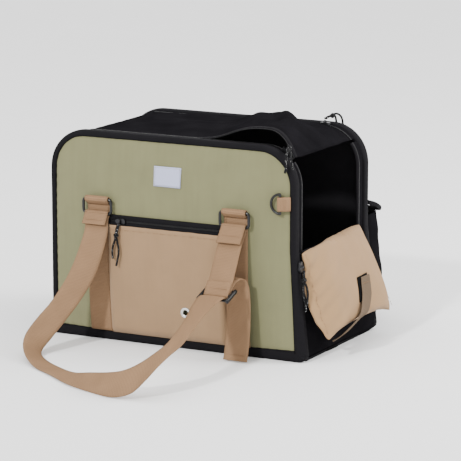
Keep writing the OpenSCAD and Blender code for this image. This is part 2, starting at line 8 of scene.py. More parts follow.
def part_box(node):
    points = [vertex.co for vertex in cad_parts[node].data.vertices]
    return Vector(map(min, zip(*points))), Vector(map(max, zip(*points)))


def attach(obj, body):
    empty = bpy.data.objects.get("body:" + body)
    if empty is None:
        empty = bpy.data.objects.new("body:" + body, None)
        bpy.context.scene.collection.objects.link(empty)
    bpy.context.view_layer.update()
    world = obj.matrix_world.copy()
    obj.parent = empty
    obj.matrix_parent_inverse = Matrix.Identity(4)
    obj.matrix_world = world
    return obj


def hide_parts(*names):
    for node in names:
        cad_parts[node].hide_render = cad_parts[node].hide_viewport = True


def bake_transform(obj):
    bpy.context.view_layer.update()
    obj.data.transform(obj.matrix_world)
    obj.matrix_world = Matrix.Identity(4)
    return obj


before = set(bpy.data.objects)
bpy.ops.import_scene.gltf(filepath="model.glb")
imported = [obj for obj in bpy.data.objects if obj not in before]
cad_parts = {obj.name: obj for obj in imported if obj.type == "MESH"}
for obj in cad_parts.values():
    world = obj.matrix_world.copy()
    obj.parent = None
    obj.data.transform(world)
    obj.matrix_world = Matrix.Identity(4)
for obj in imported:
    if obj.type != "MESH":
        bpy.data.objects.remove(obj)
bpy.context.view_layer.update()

# ---------------------------------------------------------------- sizes from the frame
BIND_LO, BIND_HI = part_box("front_binding")
HALF_W = -BIND_LO.x
HALF_D = -BIND_LO.y
HEIGHT = BIND_HI.z
FLARE = BIND_HI.x - HALF_W
SEAM_Y = -BIND_HI.y                      # inner edge of the bindings
CORNER = 0.058
CORNER_X = HALF_W - CORNER
CORNER_Z = HEIGHT - CORNER
FLARE_TOP = 0.160                        # the right side flares below this height
BINDING = 0.0095
BINDING_FOOT = 0.016
SWELL = 0.013
FACE_Y = HALF_D - 0.003                  # seam plane of the padded panels
WALL_IN = 0.003                          # end walls lie this far inside the outline
WEB_W = 0.038
WEB_T = 0.0019
WEB_X = 0.112
RING_LO, RING_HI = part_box("front_rings")
WIRE = 0.0044
RING_Y = (RING_LO.y + RING_HI.y) / 2
RING_Z = RING_HI.z - WIRE / 2
LOW_BAR_Z = RING_LO.z + WIRE / 2
SILL_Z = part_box("end_opening_posts")[0].z + 0.0056
END_ANGLE = math.radians(52)             # how far the top wraps round the right corner
CORD_D = 0.0032
CLOTH = 0.0022                           # thickness of the unpadded cloth
FORWARD = Vector((0, -1, 0))
BACKWARD = Vector((0, 1, 0))
SIDEWAYS = Vector((1, 0, 0))


def mm(*values):
    return Vector(values) / 1000


def put(name, data):
    """Links a new object into the scene."""
    obj = bpy.data.objects.new(name, data)
    bpy.context.scene.collection.objects.link(obj)
    return obj


# ---------------------------------------------------------------- camera, light and floor
AZIMUTH, ELEVATION, DISTANCE = math.radians(27.62), math.radians(11.22), 3.978
LENS = 210.85
TARGET = Vector((0.0332, 0, 0.1541))


def make_camera():
    data = bpy.data.cameras.new("photo_camera")
    data.lens = LENS
    data.sensor_width = 36
    data.clip_end = 60
    back = Vector((math.sin(AZIMUTH) * math.cos(ELEVATION), -math.cos(AZIMUTH) * math.cos(ELEVATION),
                   math.sin(ELEVATION)))
    camera = put("photo_camera", data)
    camera.location = TARGET + DISTANCE * back
    camera.rotation_euler = back.to_track_quat("Z", "Y").to_euler()
    bpy.context.scene.camera = camera


def make_light(kind, name, energy, toward, size, place=(0, 0, 3)):
    data = bpy.data.lights.new(name, kind)
    data.energy = energy
    if kind == "SUN":
        data.angle = size
    else:
        data.shape = "DISK"
        data.size = size
    light = put(name, data)
    light.location = place
    light.rotation_euler = Vector(toward).to_track_quat("-Z", "Y").to_euler()


make_camera()

# ---------------------------------------------------------------- cords
# key of the slider: body, knot and the two tails in mm
CORDS = {
    "pocket": ("pocket_slider", (-76, -148, 163), [
        [(-73, -144, 178), (-74, -147, 171), (-76, -148, 163), (-79, -147, 154),
         (-82, -147, 145), (-83, -147, 136), (-82, -147, 128)],
        [(-75, -144, 178), (-76, -147, 171), (-76, -148, 163), (-74, -148, 154),
         (-72, -148, 145), (-72, -148, 136), (-74, -148, 126), (-76, -148, 118)]]),
    "top": ("top_slider", (184, -111, 304.5), [
        [(179, -99, 304.5), (181, -104, 305.5), (184, -111, 304.5), (189, -118, 302), (193, -125, 298),
         (196, -129, 292), (198, -130, 285), (199, -130, 278)],
        [(177, -99, 306), (179, -104, 307), (184, -111, 304.5), (186, -119, 305), (189, -127, 302),
         (190, -131, 296), (190, -132, 288), (189, -132, 280), (188, -132, 273)]]),
    "end": ("end_slider", (212, -118, 120), [
        [(210.5, -116, 133), (211.5, -117, 127), (212, -118, 119), (211.5, -119, 110), (212, -120, 101),
         (213.5, -119, 92), (214.5, -118, 83), (215, -118, 75)],
        [(210.5, -114, 133), (210.5, -115, 127), (212, -118, 119), (215, -116, 110), (217, -116, 101),
         (217, -117, 92), (217, -119, 84)]]),
    "rear": ("rear_slider", (145, 112, 318), [
        [(141, 98, 315.2), (143, 104.5, 317.5), (145, 112, 319), (147, 120, 320), (149, 128, 317),
         (150, 134, 311), (150, 137, 303), (150, 138, 295)],
        [(139, 98, 315.2), (142, 105, 317.5), (145, 112, 319), (143, 120, 318), (142, 128, 314),
         (141, 133, 307), (141, 136, 299), (142, 137, 291), (142, 137, 284)]]),
}

# ---------------------------------------------------------------- materials


class Shader:
    """A Principled material with short helpers for its nodes."""

    def __init__(self, name, colour, rough=0.8, **constants):
        self.mat = bpy.data.materials.new(name)
        self.mat.use_nodes = True
        self.nodes = self.mat.node_tree.nodes
        self.links = self.mat.node_tree.links
        self.bsdf = self.nodes["Principled BSDF"]
        self.bsdf.inputs["Base Color"].default_value = (*colour, 1)
        self.bsdf.inputs["Roughness"].default_value = rough
        for key, value in constants.items():
            self.bsdf.inputs[key.replace("_", " ")].default_value = value
        self.mat.diffuse_color = (*colour, 1)

    def node(self, kind, **settings):
        made = self.nodes.new(kind)
        for key, value in settings.items():
            if hasattr(made, key):
                setattr(made, key, value)
            else:
                made.inputs[key].default_value = value
        return made

    def place(self, lay, scale):
        source = self.node("ShaderNodeAttribute" if lay else "ShaderNodeTexCoord")
        if lay:
            source.attribute_name = "lay"
        mapping = self.node("ShaderNodeMapping")
        mapping.inputs["Scale"].default_value = scale
        self.links.new(source.outputs["Vector" if lay else "Object"], mapping.inputs["Vector"])
        return mapping.outputs["Vector"]

    def noise(self, at, detail=3.0, rough=0.55):
        made = self.node("ShaderNodeTexNoise", Scale=1, Detail=detail, Roughness=rough)
        self.links.new(at, made.inputs["Vector"])
        return made.outputs["Fac"]

    def bands(self, at, direction, distortion=0.0):
        one_a_unit = math.pi / 10
        made = self.node("ShaderNodeTexWave", wave_type="BANDS", bands_direction=direction,
                         Scale=one_a_unit, Distortion=distortion, Detail=1)
        self.links.new(at, made.inputs["Vector"])
        return made.outputs["Fac"]

    def math(self, operation, a, b):
        made = self.node("ShaderNodeMath", operation=operation)
        for socket, value in zip(made.inputs, (a, b)):
            if isinstance(value, (int, float)):
                socket.default_value = value
            else:
                self.links.new(value, socket)
        return made.outputs[0]

    def ramp(self, fac, low, high, a=0.3, b=0.7):
        made = self.node("ShaderNodeValToRGB")
        for stop, at, colour in zip(made.color_ramp.elements, (a, b), (low, high)):
            stop.position = at
            stop.color = (*colour, 1)
        self.links.new(fac, made.inputs["Fac"])
        return made.outputs["Color"]

    def mix(self, kind, fac, a, b):
        made = self.node("ShaderNodeMix", data_type="RGBA", blend_type=kind)
        made.inputs["Factor"].default_value = fac
        self.links.new(a, made.inputs[6])
        self.links.new(b, made.inputs[7])
        return made.outputs[2]

    def colour(self, socket):
        self.links.new(socket, self.bsdf.inputs["Base Color"])

    def rough(self, fac, low, high):
        spread = self.node("ShaderNodeMapRange")
        spread.inputs["To Min"].default_value = low
        spread.inputs["To Max"].default_value = high
        self.links.new(fac, spread.inputs["Value"])
        self.links.new(spread.outputs["Result"], self.bsdf.inputs["Roughness"])

    def bump(self, height, strength, distance):
        made = self.node("ShaderNodeBump", Strength=strength, Distance=distance)
        self.links.new(height, made.inputs["Height"])
        self.links.new(made.outputs["Normal"], self.bsdf.inputs["Normal"])


def tinted(colour, k):
    return tuple(c * k for c in colour)


def woven(name, colour, thread=0.0007, streak=0.0, contrast=0.12, lay=True, rough=0.85, sheen=0.15,
          bump=0.35, worn=0.08, gloss=0.2):
    """Plain-weave cloth: crossed threads, slow colour drift, optional streaks along the length."""
    s = Shader(name, colour, rough, Sheen_Weight=sheen, Sheen_Roughness=0.5, Specular_IOR_Level=gloss)
    fine = s.place(lay, (1 / thread / 2, 1 / thread / 2, 1 / thread / 2))
    weave = s.math("MULTIPLY", s.bands(fine, "X", 0.6), s.bands(fine, "Y", 0.6))
    if not lay:
        crossed = s.math("MULTIPLY", s.bands(fine, "Z", 0.6), s.bands(fine, "X", 0.6))
        weave = s.math("MAXIMUM", weave, crossed)
    drift = s.noise(s.place(lay, (18, 18, 18)), 4.0)
    base = s.ramp(drift, tinted(colour, 1 - worn), tinted(colour, 1 + worn))
    threads = s.ramp(weave, (1 - contrast,) * 3, (1, 1, 1), 0.0, 0.8)
    shade = s.mix("MULTIPLY", 1.0, base, threads)
    if streak:
        lines = s.noise(s.place(lay, (95, 7, 9)), 3.0, 0.6)
        shade = s.mix("MULTIPLY", 1.0, shade, s.ramp(lines, (1 - streak,) * 3, (1, 1, 1), 0.32, 0.62))
    s.colour(shade)
    s.rough(drift, rough - 0.06, min(1.0, rough + 0.08))
    fuzz = s.noise(s.place(lay, (900, 900, 900)), 2.0)
    s.bump(s.math("ADD", weave, s.math("MULTIPLY", fuzz, 0.5)), bump, 0.0004)
    return s.mat


def ribbed(name, colour, rib=0.0011, lay=True, rough=0.8, contrast=0.2):
    """Webbing or grosgrain: ribs across the width, a faint herringbone and darker edges of the ribs."""
    s = Shader(name, colour, rough, Sheen_Weight=0.0, Specular_IOR_Level=0.03)
    at = s.place(lay, (1 / rib / 2, 1 / rib / 2, 1 / rib / 2))
    ribs = s.bands(at, "Y", 0.4)
    twill = s.bands(at, "DIAGONAL", 0.3)
    weave = s.math("ADD", s.math("MULTIPLY", ribs, 0.7), s.math("MULTIPLY", twill, 0.3))
    drift = s.noise(s.place(lay, (25, 25, 25)), 3.0)
    base = s.ramp(drift, tinted(colour, 0.92), tinted(colour, 1.07))
    s.colour(s.mix("MULTIPLY", 1.0, base, s.ramp(weave, (1 - contrast,) * 3, (1, 1, 1), 0.1, 0.7)))
    s.rough(drift, rough - 0.05, rough + 0.08)
    s.bump(weave, 0.5, 0.0005)
    return s.mat


def hard(name, colour, rough, metallic=0.0, coat=0.0):
    """Moulded plastic or lacquered metal: fine grain in the gloss, slight colour drift."""
    s = Shader(name, colour, rough, Metallic=metallic, Coat_Weight=coat, Coat_Roughness=0.12,
               Specular_IOR_Level=0.3)
    fine = s.noise(s.place(False, (3000, 3000, 3000)), 2.0)
    slow = s.noise(s.place(False, (60, 60, 60)), 3.0)
    s.colour(s.ramp(slow, tinted(colour, 0.88), tinted(colour, 1.12)))
    s.rough(slow, max(0.03, rough - 0.05), rough + 0.07)
    s.bump(fine, 0.08, 0.0002)
    return s.mat


def flecked(name):
    """Braided black cord with white flecks."""
    s = Shader(name, (0.02, 0.02, 0.022), 0.75, Specular_IOR_Level=0.12)
    spots = s.noise(s.place(False, (800, 800, 800)), 1.0, 0.4)
    s.colour(s.ramp(spots, (0.004, 0.004, 0.0045), (0.55, 0.55, 0.54), 0.68, 0.73))
    braid = s.place(False, (700, 700, 700))
    s.bump(s.bands(braid, "DIAGONAL", 0.5), 0.6, 0.0004)
    return s.mat


GREEN = (0.162, 0.159, 0.081)
BEIGE = (0.252, 0.159, 0.086)
TAN = (0.215, 0.130, 0.073)
BLACK = (0.0088, 0.0083, 0.0096)
M = {
    "green": woven("green_cloth", GREEN, streak=0.05, worn=0.06, sheen=0.1),
    "beige": woven("beige_cloth", BEIGE, streak=0.03, worn=0.05, sheen=0.1),
    "pillow": woven("pillow_cloth", (0.285, 0.172, 0.083), worn=0.05, sheen=0.1),
    "black": woven("black_cloth", BLACK, contrast=0.3, worn=0.25, rough=0.85, sheen=0.0, gloss=0.0),
    "lining": woven("lining_cloth", BLACK, contrast=0.3, worn=0.2, rough=0.85, sheen=0.0, gloss=0.08),
    "mat": woven("mat_cloth", (0.016, 0.016, 0.018), thread=0.0012, contrast=0.3, rough=0.95, sheen=0.3,
                 bump=0.7),
    "webbing": ribbed("tan_webbing", TAN),
    # the keeper strap is the tan webbing made darker and greyer: painted shade, matching the strap where it
    # lies in shade
    "keeper": ribbed("shaded_keeper_webbing", (0.115, 0.082, 0.055)),
    "binding": ribbed("black_grosgrain", BLACK, rib=0.0009, contrast=0.35, rough=0.7),
    "tape": ribbed("zip_tape_cloth", BLACK, rib=0.0007, contrast=0.3, rough=0.75),
    "teeth": hard("zip_teeth_nylon", (0.006, 0.006, 0.0065), 0.38),
    "thread_tan": ribbed("tan_thread", tinted(TAN, 1.15), rib=0.0004, lay=False),
    "thread_black": ribbed("black_thread", (0.007, 0.007, 0.0075), rib=0.0004, lay=False),
    "thread_white": ribbed("white_thread", (0.45, 0.45, 0.45), rib=0.0004, lay=False),
    "ring": hard("black_lacquer", (0.003, 0.003, 0.0035), 0.3, coat=0.15),
    "plastic": hard("black_plastic", (0.004, 0.004, 0.0045), 0.36),
    "slider": hard("slider_metal", (0.03, 0.03, 0.032), 0.3, metallic=0.8),
    "silver": hard("nickel", (0.62, 0.62, 0.60), 0.2, metallic=1.0),
    "label": woven("label_satin", (0.37, 0.39, 0.53), thread=0.0004, contrast=0.05, worn=0.02, rough=0.6,
                   bump=0.15),
    "cord": flecked("flecked_cord"),
    "hook": woven("hook_tape", (0.003, 0.003, 0.003), sheen=0.0, gloss=0.08, thread=0.001, contrast=0.5,
                  rough=0.95, bump=1.0),
    "net": ribbed("net_thread", (0.007, 0.007, 0.0075), rib=0.0008, lay=False),
    "board": hard("board_plastic", (0.02, 0.02, 0.02), 0.6),
}

# ---------------------------------------------------------------- mesh tools


def make_mesh(name, points, faces, lay=None, smooth=True):
    mesh = bpy.data.meshes.new(name)
    mesh.from_pydata([tuple(p) for p in points], [], faces)
    mesh.update()
    if lay:
        data = mesh.attributes.new("lay", "FLOAT_VECTOR", "POINT")
        for item, value in zip(data.data, lay):
            item.vector = value
    if smooth:
        mesh.polygons.foreach_set("use_smooth", [True] * len(mesh.polygons))
    return mesh


def add_mesh(name, points, faces, lay=None, smooth=True):
    return put(name, make_mesh(name, points, faces, lay, smooth))


def brick(points, faces, corners):
    """Adds a closed block of eight corners, four round one end and then four round the other."""
    k = len(points)
    points.extend(corners)
    for q in range(4):
        faces.append((k + q, k + (q + 1) % 4, k + 4 + (q + 1) % 4, k + 4 + q))
    faces.append((k + 3, k + 2, k + 1, k))
    faces.append((k + 4, k + 5, k + 6, k + 7))


def both_sides(rows, columns, cell):
    """Front and back grids of a cloth; cell(i, j) gives the pair of points at one place."""
    pairs = [[cell(i, j) for j in range(columns + 1)] for i in range(rows + 1)]
    return [[[pair[k] for pair in row] for row in pairs] for k in (0, 1)]


def length_of(points):
    return sum((b - a).length for a, b in zip(points, points[1:]))


def spaced(a, b, count):
    return [a + (b - a) * k / count for k in range(count + 1)]


def outward(obj):
    """Turns every face of a closed mesh outwards."""
    bpy.context.view_layer.objects.active = obj
    obj.select_set(True)
    bpy.ops.object.mode_set(mode="EDIT")
    bpy.ops.mesh.select_all(action="SELECT")
    bpy.ops.mesh.normals_make_consistent(inside=False)
    bpy.ops.object.mode_set(mode="OBJECT")
    obj.select_set(False)
    return obj


def grid_lay(rows):
    """Lengths across and along a grid, so that a weave follows the cloth."""
    out = []
    down = [0.0] * len(rows[0])
    for i, row in enumerate(rows):
        across = 0.0
        for j, p in enumerate(row):
            if i:
                down[j] += (p - rows[i - 1][j]).length
            if j:
                across += (p - row[j - 1]).length
            out.append((across, down[j], 0))
    return out


def sheet_solid(name, front, back, hole=None, upright=False):
    """Closed cloth between two grids; hole(i, j) leaves a cell open, upright keeps the weave plumb."""
    n, m = len(front), len(front[0])
    points = [p for rows in (front, back) for row in rows for p in row]
    lay = [(p.x, p.z, 0) for p in points] if upright else grid_lay(front) * 2

    def at(s, i, j):
        return (s * n + i) * m + j

    full = {(i, j) for i in range(n - 1) for j in range(m - 1) if not (hole and hole(i, j))}
    faces = []
    for i, j in full:
        faces.append((at(0, i, j), at(0, i, j + 1), at(0, i + 1, j + 1), at(0, i + 1, j)))
        faces.append((at(1, i, j), at(1, i + 1, j), at(1, i + 1, j + 1), at(1, i, j + 1)))
        rim = (((i - 1, j), (i, j), (i, j + 1)), ((i + 1, j), (i + 1, j + 1), (i + 1, j)),
               ((i, j - 1), (i + 1, j), (i, j)), ((i, j + 1), (i, j + 1), (i + 1, j + 1)))
        for neighbour, a, b in rim:
            if neighbour not in full:
                faces.append((at(0, *b), at(0, *a), at(1, *a), at(1, *b)))
    obj = add_mesh(name, points, faces, lay)
    if hole:
        drop_loose(obj)
    return outward(obj)


def drop_loose(obj):
    """Removes the points that no face uses."""
    old, name = obj.data, obj.name
    keep = sorted({v for f in old.polygons for v in f.vertices})
    index = {v: k for k, v in enumerate(keep)}
    lay = [tuple(old.attributes["lay"].data[v].vector) for v in keep]
    faces = [tuple(index[v] for v in f.vertices) for f in old.polygons]
    obj.data = make_mesh(name, [old.vertices[v].co for v in keep], faces, lay)
    bpy.data.meshes.remove(old)


def curve_points(points, steps):
    """Catmull-Rom curve through given points."""
    out = []
    n = len(points)
    for i in range(n - 1):
        a, b, c, d = points[max(0, i - 1)], points[i], points[i + 1], points[min(n - 1, i + 2)]
        for k in range(steps):
            t = k / steps
            out.append((2 * b + (c - a) * t + (2 * a - 5 * b + 4 * c - d) * t * t
                        + (3 * b - a - 3 * c + d) * t ** 3) / 2)
    return out + [points[-1]]


def along(points, i, closed=False):
    n = len(points)
    if closed:
        return (points[(i + 1) % n] - points[(i - 1) % n]).normalized()
    return (points[min(n - 1, i + 1)] - points[max(0, i - 1)]).normalized()


def sweep(name, path, section, side, closed=False, widen=None):
    """Sweeps a closed section along path; side(i) gives its first axis, widen(i) scales that axis."""
    points, lay, faces = [], [], []
    n, m = len(path), len(section)
    length = 0.0
    girth = [0.0]
    for k in range(1, m):
        girth.append(girth[-1] + math.dist(section[k], section[k - 1]))
    for i, p in enumerate(path):
        t = along(path, i, closed)
        s = side(i)
        s = (s - t * s.dot(t)).normalized()
        up = t.cross(s)
        if i:
            length += (p - path[i - 1]).length
        wide = widen(i) if widen else 1.0
        for k, (a, b) in enumerate(section):
            points.append(p + s * (a * wide) + up * b)
            lay.append((girth[k], length, 0))
    for i in range(n if closed else n - 1):
        for k in range(m):
            a, b = i * m + k, i * m + (k + 1) % m
            c, d = ((i + 1) % n) * m + (k + 1) % m, ((i + 1) % n) * m + k
            faces.append((a, b, c, d))
    if not closed:
        faces.append(tuple(range(m)))
        faces.append(tuple(range(n * m - 1, (n - 1) * m - 1, -1)))
    return outward(add_mesh(name, points, faces, lay))


def ellipse(a, b, count, power=1.0):
    out = []
    for k in range(count):
        c, s = math.cos(2 * math.pi * k / count), math.sin(2 * math.pi * k / count)
        out.append((a * math.copysign(abs(c) ** power, c), b * math.copysign(abs(s) ** power, s)))
    return out


def ribbon(name, left, right, thick=WEB_T, steps=3, across=8, cup=0.0):
    """Flat strap between two edge curves, with rounded selvedges and a slight cup across its width."""
    a, b = curve_points(left, steps), curve_points(right, steps)

    def cell(i, k):
        up = (along(a, i) + along(b, i)).normalized().cross(b[i] - a[i]).normalized()
        u = 2 * k / across - 1
        h = thick / 2 * (1 - 0.6 * abs(u) ** 9)
        mid = a[i].lerp(b[i], k / across) + up * (cup * (1 - u * u))
        return mid + up * h, mid - up * h

    return sheet_solid(name, *both_sides(len(a) - 1, across, cell))


def stitches(name, lines, mat, pitch=0.0034, dash=0.0023, radius=0.0004):
    """Rows of short threads; each line is a list of (point, outward normal)."""
    points, faces = [], []
    for line in lines:
        run = 0.0
        for (p, up), (q, _) in zip(line, line[1:]):
            gap = (q - p).length
            if gap == 0:
                continue
            t = (q - p).normalized()
            s = t.cross(up).normalized()
            while run < gap:
                start = p + t * run
                stop = p + t * min(gap, run + dash)
                first = len(points)
                for at, lift in ((start, -0.2), (start.lerp(stop, 0.5), 0.9), (stop, -0.2)):
                    centre = at + up * (radius * lift)
                    points += [centre + d * radius for d in (s, up, -s, -up)]
                for ring in (0, 4):
                    for k in range(4):
                        c, d = first + ring + k, first + ring + (k + 1) % 4
                        faces.append((c, d, d + 4, c + 4))
                faces.append((first + 3, first + 2, first + 1, first))
                faces.append((first + 8, first + 9, first + 10, first + 11))
                run += pitch
            run -= gap
    obj = add_mesh(name, points, faces)
    obj.data.materials.append(M[mat])
    return obj


def dress(obj, mat, body, slot, *nodes):
    """Gives a mesh its material and body, and hides the nodes it stands for; slot is not used."""
    if mat:
        obj.data.materials.append(M[mat])
    if body:
        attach(obj, body)
    if nodes:
        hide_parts(*nodes)
    return obj


def sew(name, lines, mat, body, slot, **size):
    dress(stitches(name, lines, mat, **size), None, body, slot)


def repaint(node, mat):
    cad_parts[node].data.materials[0] = M[mat]


def rough_noise(p, scale, seed):
    return noise.noise(p * scale + Vector((seed, 3.1 * seed, -2.7 * seed)))


# ---------------------------------------------------------------- shape of the bag


def flare_at(z):
    return FLARE * max(0.0, 1 - z / FLARE_TOP)


def side_x(z, s, margin):
    over = max(0.0, z - CORNER_Z)
    r = CORNER - margin
    x = CORNER_X + math.sqrt(max(0.0, r * r - over * over))
    return x + (flare_at(z) if s > 0 else 0)


def swell(x, z):
    u, v = min(1, abs(x) / HALF_W), min(1, max(0, z / HEIGHT))
    return SWELL * (1 - u ** 4) * math.sin(math.pi * v) ** 0.7


def face_y(x, z):
    return -(FACE_Y + swell(x, z))


def outline_points(margin, floor_z, step=0.006):
    """Open path up the left side, over the top and down the right side."""
    r = CORNER - margin
    out = []
    rise = int((CORNER_Z - floor_z) / step)
    for k in range(rise):
        out.append(Vector((-(CORNER_X + r), 0, floor_z + (CORNER_Z - floor_z) * k / rise)))
    turn = max(10, int(r * math.pi / 2 / step))
    for k in range(turn):
        a = math.pi / 2 * k / turn
        out.append(Vector((-CORNER_X - r * math.cos(a), 0, CORNER_Z + r * math.sin(a))))
    top = int(2 * CORNER_X / step)
    for k in range(top):
        out.append(Vector((-CORNER_X + 2 * CORNER_X * k / top, 0, CORNER_Z + r)))
    for k in range(turn):
        a = math.pi / 2 * k / turn
        out.append(Vector((CORNER_X + r * math.sin(a), 0, CORNER_Z + r * math.cos(a))))
    for k in range(rise + 1):
        z = CORNER_Z - (CORNER_Z - floor_z) * k / rise
        out.append(Vector((CORNER_X + r + flare_at(z), 0, z)))
    return out


def mirrored(points):
    return [Vector((p.x, -p.y, p.z)) for p in points]


def turned(points):
    return [Vector((-p.x, -p.y, p.z)) for p in points]


def normal_at(path, i):
    """Outward normal of an outline path, which runs clockwise seen from the front."""
    t = along(path, i)
    return Vector((-t.z, 0, t.x))


def gusset_sheet(name, path, y0, y1, columns, thick, rise, hole=None):
    """Cloth across the bag that follows an outline path; rise(p, y) lifts it along its normal."""
    def cell(i, j):
        p, y = path[i], y0 + (y1 - y0) * j / columns
        up, h = normal_at(path, i), rise(path[i], y)
        at = Vector((p.x, y, p.z))
        return at + up * h, at + up * (h - thick)

    return sheet_solid(name, *both_sides(len(path) - 1, columns, cell), hole)


def end_angle_of(p):
    return math.atan2(p.x - CORNER_X, p.z - CORNER_Z)


# ---------------------------------------------------------------- padded panels and bindings


def panel(name, node, seed, flip):
    columns, rows = 104, 84
    inner = HALF_D - 0.012
    margin = 0.0055                      # the cloth ends this far inside the outline
    foot, head = BINDING_FOOT - 0.004, HEIGHT - margin

    def ripple(edge, run, at):
        return math.exp(-edge / 0.013) * math.sin(run + 2 * rough_noise(at, 30, seed))

    def cell(i, j):
        z = foot + (head - foot) * i / rows
        a, b = -side_x(z, -1, margin), side_x(z, 1, margin)
        x = a + (b - a) * j / columns
        edge_x, edge_z = min(x - a, b - x), min(z - foot, head - z)
        pucker = 0.0004 * (ripple(edge_x, z * 470, Vector((x, 0, z)))
                           + ripple(edge_z, x * 430, Vector((x, 1, z))))
        fold = (0.0010 * rough_noise(Vector((x * 3.2, 0, z * 0.8)), 11, seed)
                + 0.0008 * rough_noise(Vector((x * 1.4, 0, z)), 26, seed))
        fold *= min(1, edge_x / 0.03, edge_z / 0.03)
        tuck = 0.0020 * max(0.0, 1 - min(edge_x, edge_z) / 0.0065)
        return Vector((x, face_y(x, z) - pucker - fold + tuck, z)), Vector((x, -inner, z))

    front, back = both_sides(rows, columns, cell)
    if flip:
        front, back = [mirrored(r) for r in front], [mirrored(r) for r in back]
    obj = sheet_solid(name, front, back, upright=True)
    count = len(front) * len(front[0])
    dress(obj, "green", "bag", "green_fabric", node)
    obj.data.materials.append(M["lining"])
    for f in obj.data.polygons:
        if all(v >= count for v in f.vertices):
            f.material_index = 1


def bound_loop():
    """Closed path along the middle of the binding."""
    half = BINDING / 2
    path = outline_points(half, 0.014, 0.0045)
    foot = BINDING_FOOT / 2
    left, right = path[0].copy(), path[-1].copy()
    bend = 0.003
    x0, x1 = left.x, HALF_W - half + flare_at(foot)
    corner = [Vector((x1 - bend + bend * math.cos(a), 0, foot + bend - bend * math.sin(a)))
              for a in (0.0, 0.4, 0.8, 1.2, math.pi / 2)]
    n = 80
    bottom = [Vector((x1 - bend + (x0 + bend - x1 + bend) * k / n, 0, foot)) for k in range(1, n)]
    other = [Vector((x0 + bend - bend * math.sin(a), 0, foot + bend - bend * math.cos(a)))
             for a in (0.0, 0.4, 0.8, 1.2, math.pi / 2)]
    return [p for p in path if p.z > foot + bend + 0.001] + corner + bottom + other


def binding(name, node, seed, flip):
    y = -(HALF_D + SEAM_Y) / 2
    path = [Vector((p.x, y + 0.0003 * rough_noise(p, 60, seed), p.z)) for p in bound_loop()]
    half_deep, ply = (HALF_D - SEAM_Y) / 2, 0.0004
    section = ellipse(BINDING / 2 + ply, half_deep + ply, 20, 0.62)

    def side(i):
        return along(path, i, True).cross(BACKWARD)

    def widen(i):
        if path[i].z < BINDING_FOOT / 2 + 0.001:
            return BINDING_FOOT / BINDING
        return 1.0 + (max(0, 1 - path[i].z / FLARE_TOP) ** 1.2 if path[i].x > 0 else 0)

    inner = []
    for i, p in enumerate(path):
        s = side(i).normalized()
        inward = -s if s.dot(Vector((0, 0, 0.15)) - Vector((p.x, 0, p.z))) < 0 else s
        seam_at = p + inward * (BINDING / 2 * widen(i) - 0.0016)
        inner.append((seam_at + Vector((0, -half_deep + 0.0001, 0)), FORWARD))
    obj = sweep(name, path, section, side, True, widen)
    if flip:
        for v in obj.data.vertices:
            v.co.y = -v.co.y
        obj.data.flip_normals()
        inner = [(Vector((p.x, -p.y, p.z)), -up) for p, up in inner]
    dress(obj, "binding", "bag", "black_binding", node)
    sew(name + "_stitches", [inner], "thread_black", "bag", "black_binding", pitch=0.0042, dash=0.003)


panel("green_front_pad", "front_panel", 3.0, False)
panel("green_back_pad", "back_panel", 7.0, True)
binding("front_bound_edge", "front_binding", 1.0, False)
binding("back_bound_edge", "back_binding", 2.0, True)

# ---------------------------------------------------------------- left end with its mesh window

TOP_START = -0.150
WINDOW = (-0.080, 0.080, 0.090, 0.255)   # y from, y to, z from, z to
OUTLINE = outline_points(WALL_IN, 0.0035, 0.005)


def left_end():
    path = [p for p in OUTLINE if p.x < TOP_START + 0.003]
    columns = 44
    width = 2 * SEAM_Y

    def rise(p, y):
        middle = 1 - (y / SEAM_Y) ** 2
        return 0.0015 * rough_noise(Vector((p.x, y * 0.6, p.z)), 22, 5.0) * middle - 0.0015 * middle

    def hole(i, j):
        y = -SEAM_Y + width * (j + 0.5) / columns
        z = (path[i].z + path[min(i + 1, len(path) - 1)].z) / 2
        return WINDOW[0] < y < WINDOW[1] and WINDOW[2] < z < WINDOW[3] - 0.003

    obj = gusset_sheet("left_end_cloth", path, -SEAM_Y, SEAM_Y, columns, CLOTH, rise, hole)
    dress(obj, "black", "bag", "black_fabric", "left_end_wall")
    x = -HALF_W + WALL_IN - 0.0006
    y0, y1, z0, z1 = WINDOW
    rim = rounded_loop([(y0, z0), (y0, z1), (y1, z1), (y1, z0)], 0.012,
                       lambda a, b: Vector((x + max(0.0, b - CORNER_Z) * 0.05, a, b)))
    tape = sweep("mesh_window_edge", rim, ellipse(0.006, 0.0016, 12, 0.7),
                 lambda i: along(rim, i, True).cross(SIDEWAYS), True)
    dress(tape, "binding", "bag", "black_binding")
    net(x + 0.0016)


def rounded_loop(corners, r, place, arc=6, gap=0.006):
    """Closed rounded polygon; place(a, b) puts a corner's two numbers into space."""
    out = []
    n = len(corners)
    for k in range(n):
        (pa, pb), (a, b), (na, nb) = corners[k - 1], corners[k], corners[(k + 1) % n]
        before = Vector((pa - a, pb - b)).normalized()
        after = Vector((na - a, nb - b)).normalized()
        start, stop = Vector((a, b)) + before * r, Vector((a, b)) + after * r
        for q in range(arc + 1):
            t = q / arc
            p = start * (1 - t) ** 2 + Vector((a, b)) * 2 * t * (1 - t) + stop * t * t
            out.append(place(p.x, p.y))
        last, goal = stop, Vector((na, nb)) - after * r
        steps = max(1, int((goal - last).length / gap))
        for q in range(1, steps):
            p = last.lerp(goal, q / steps)
            out.append(place(p.x, p.y))
    return out


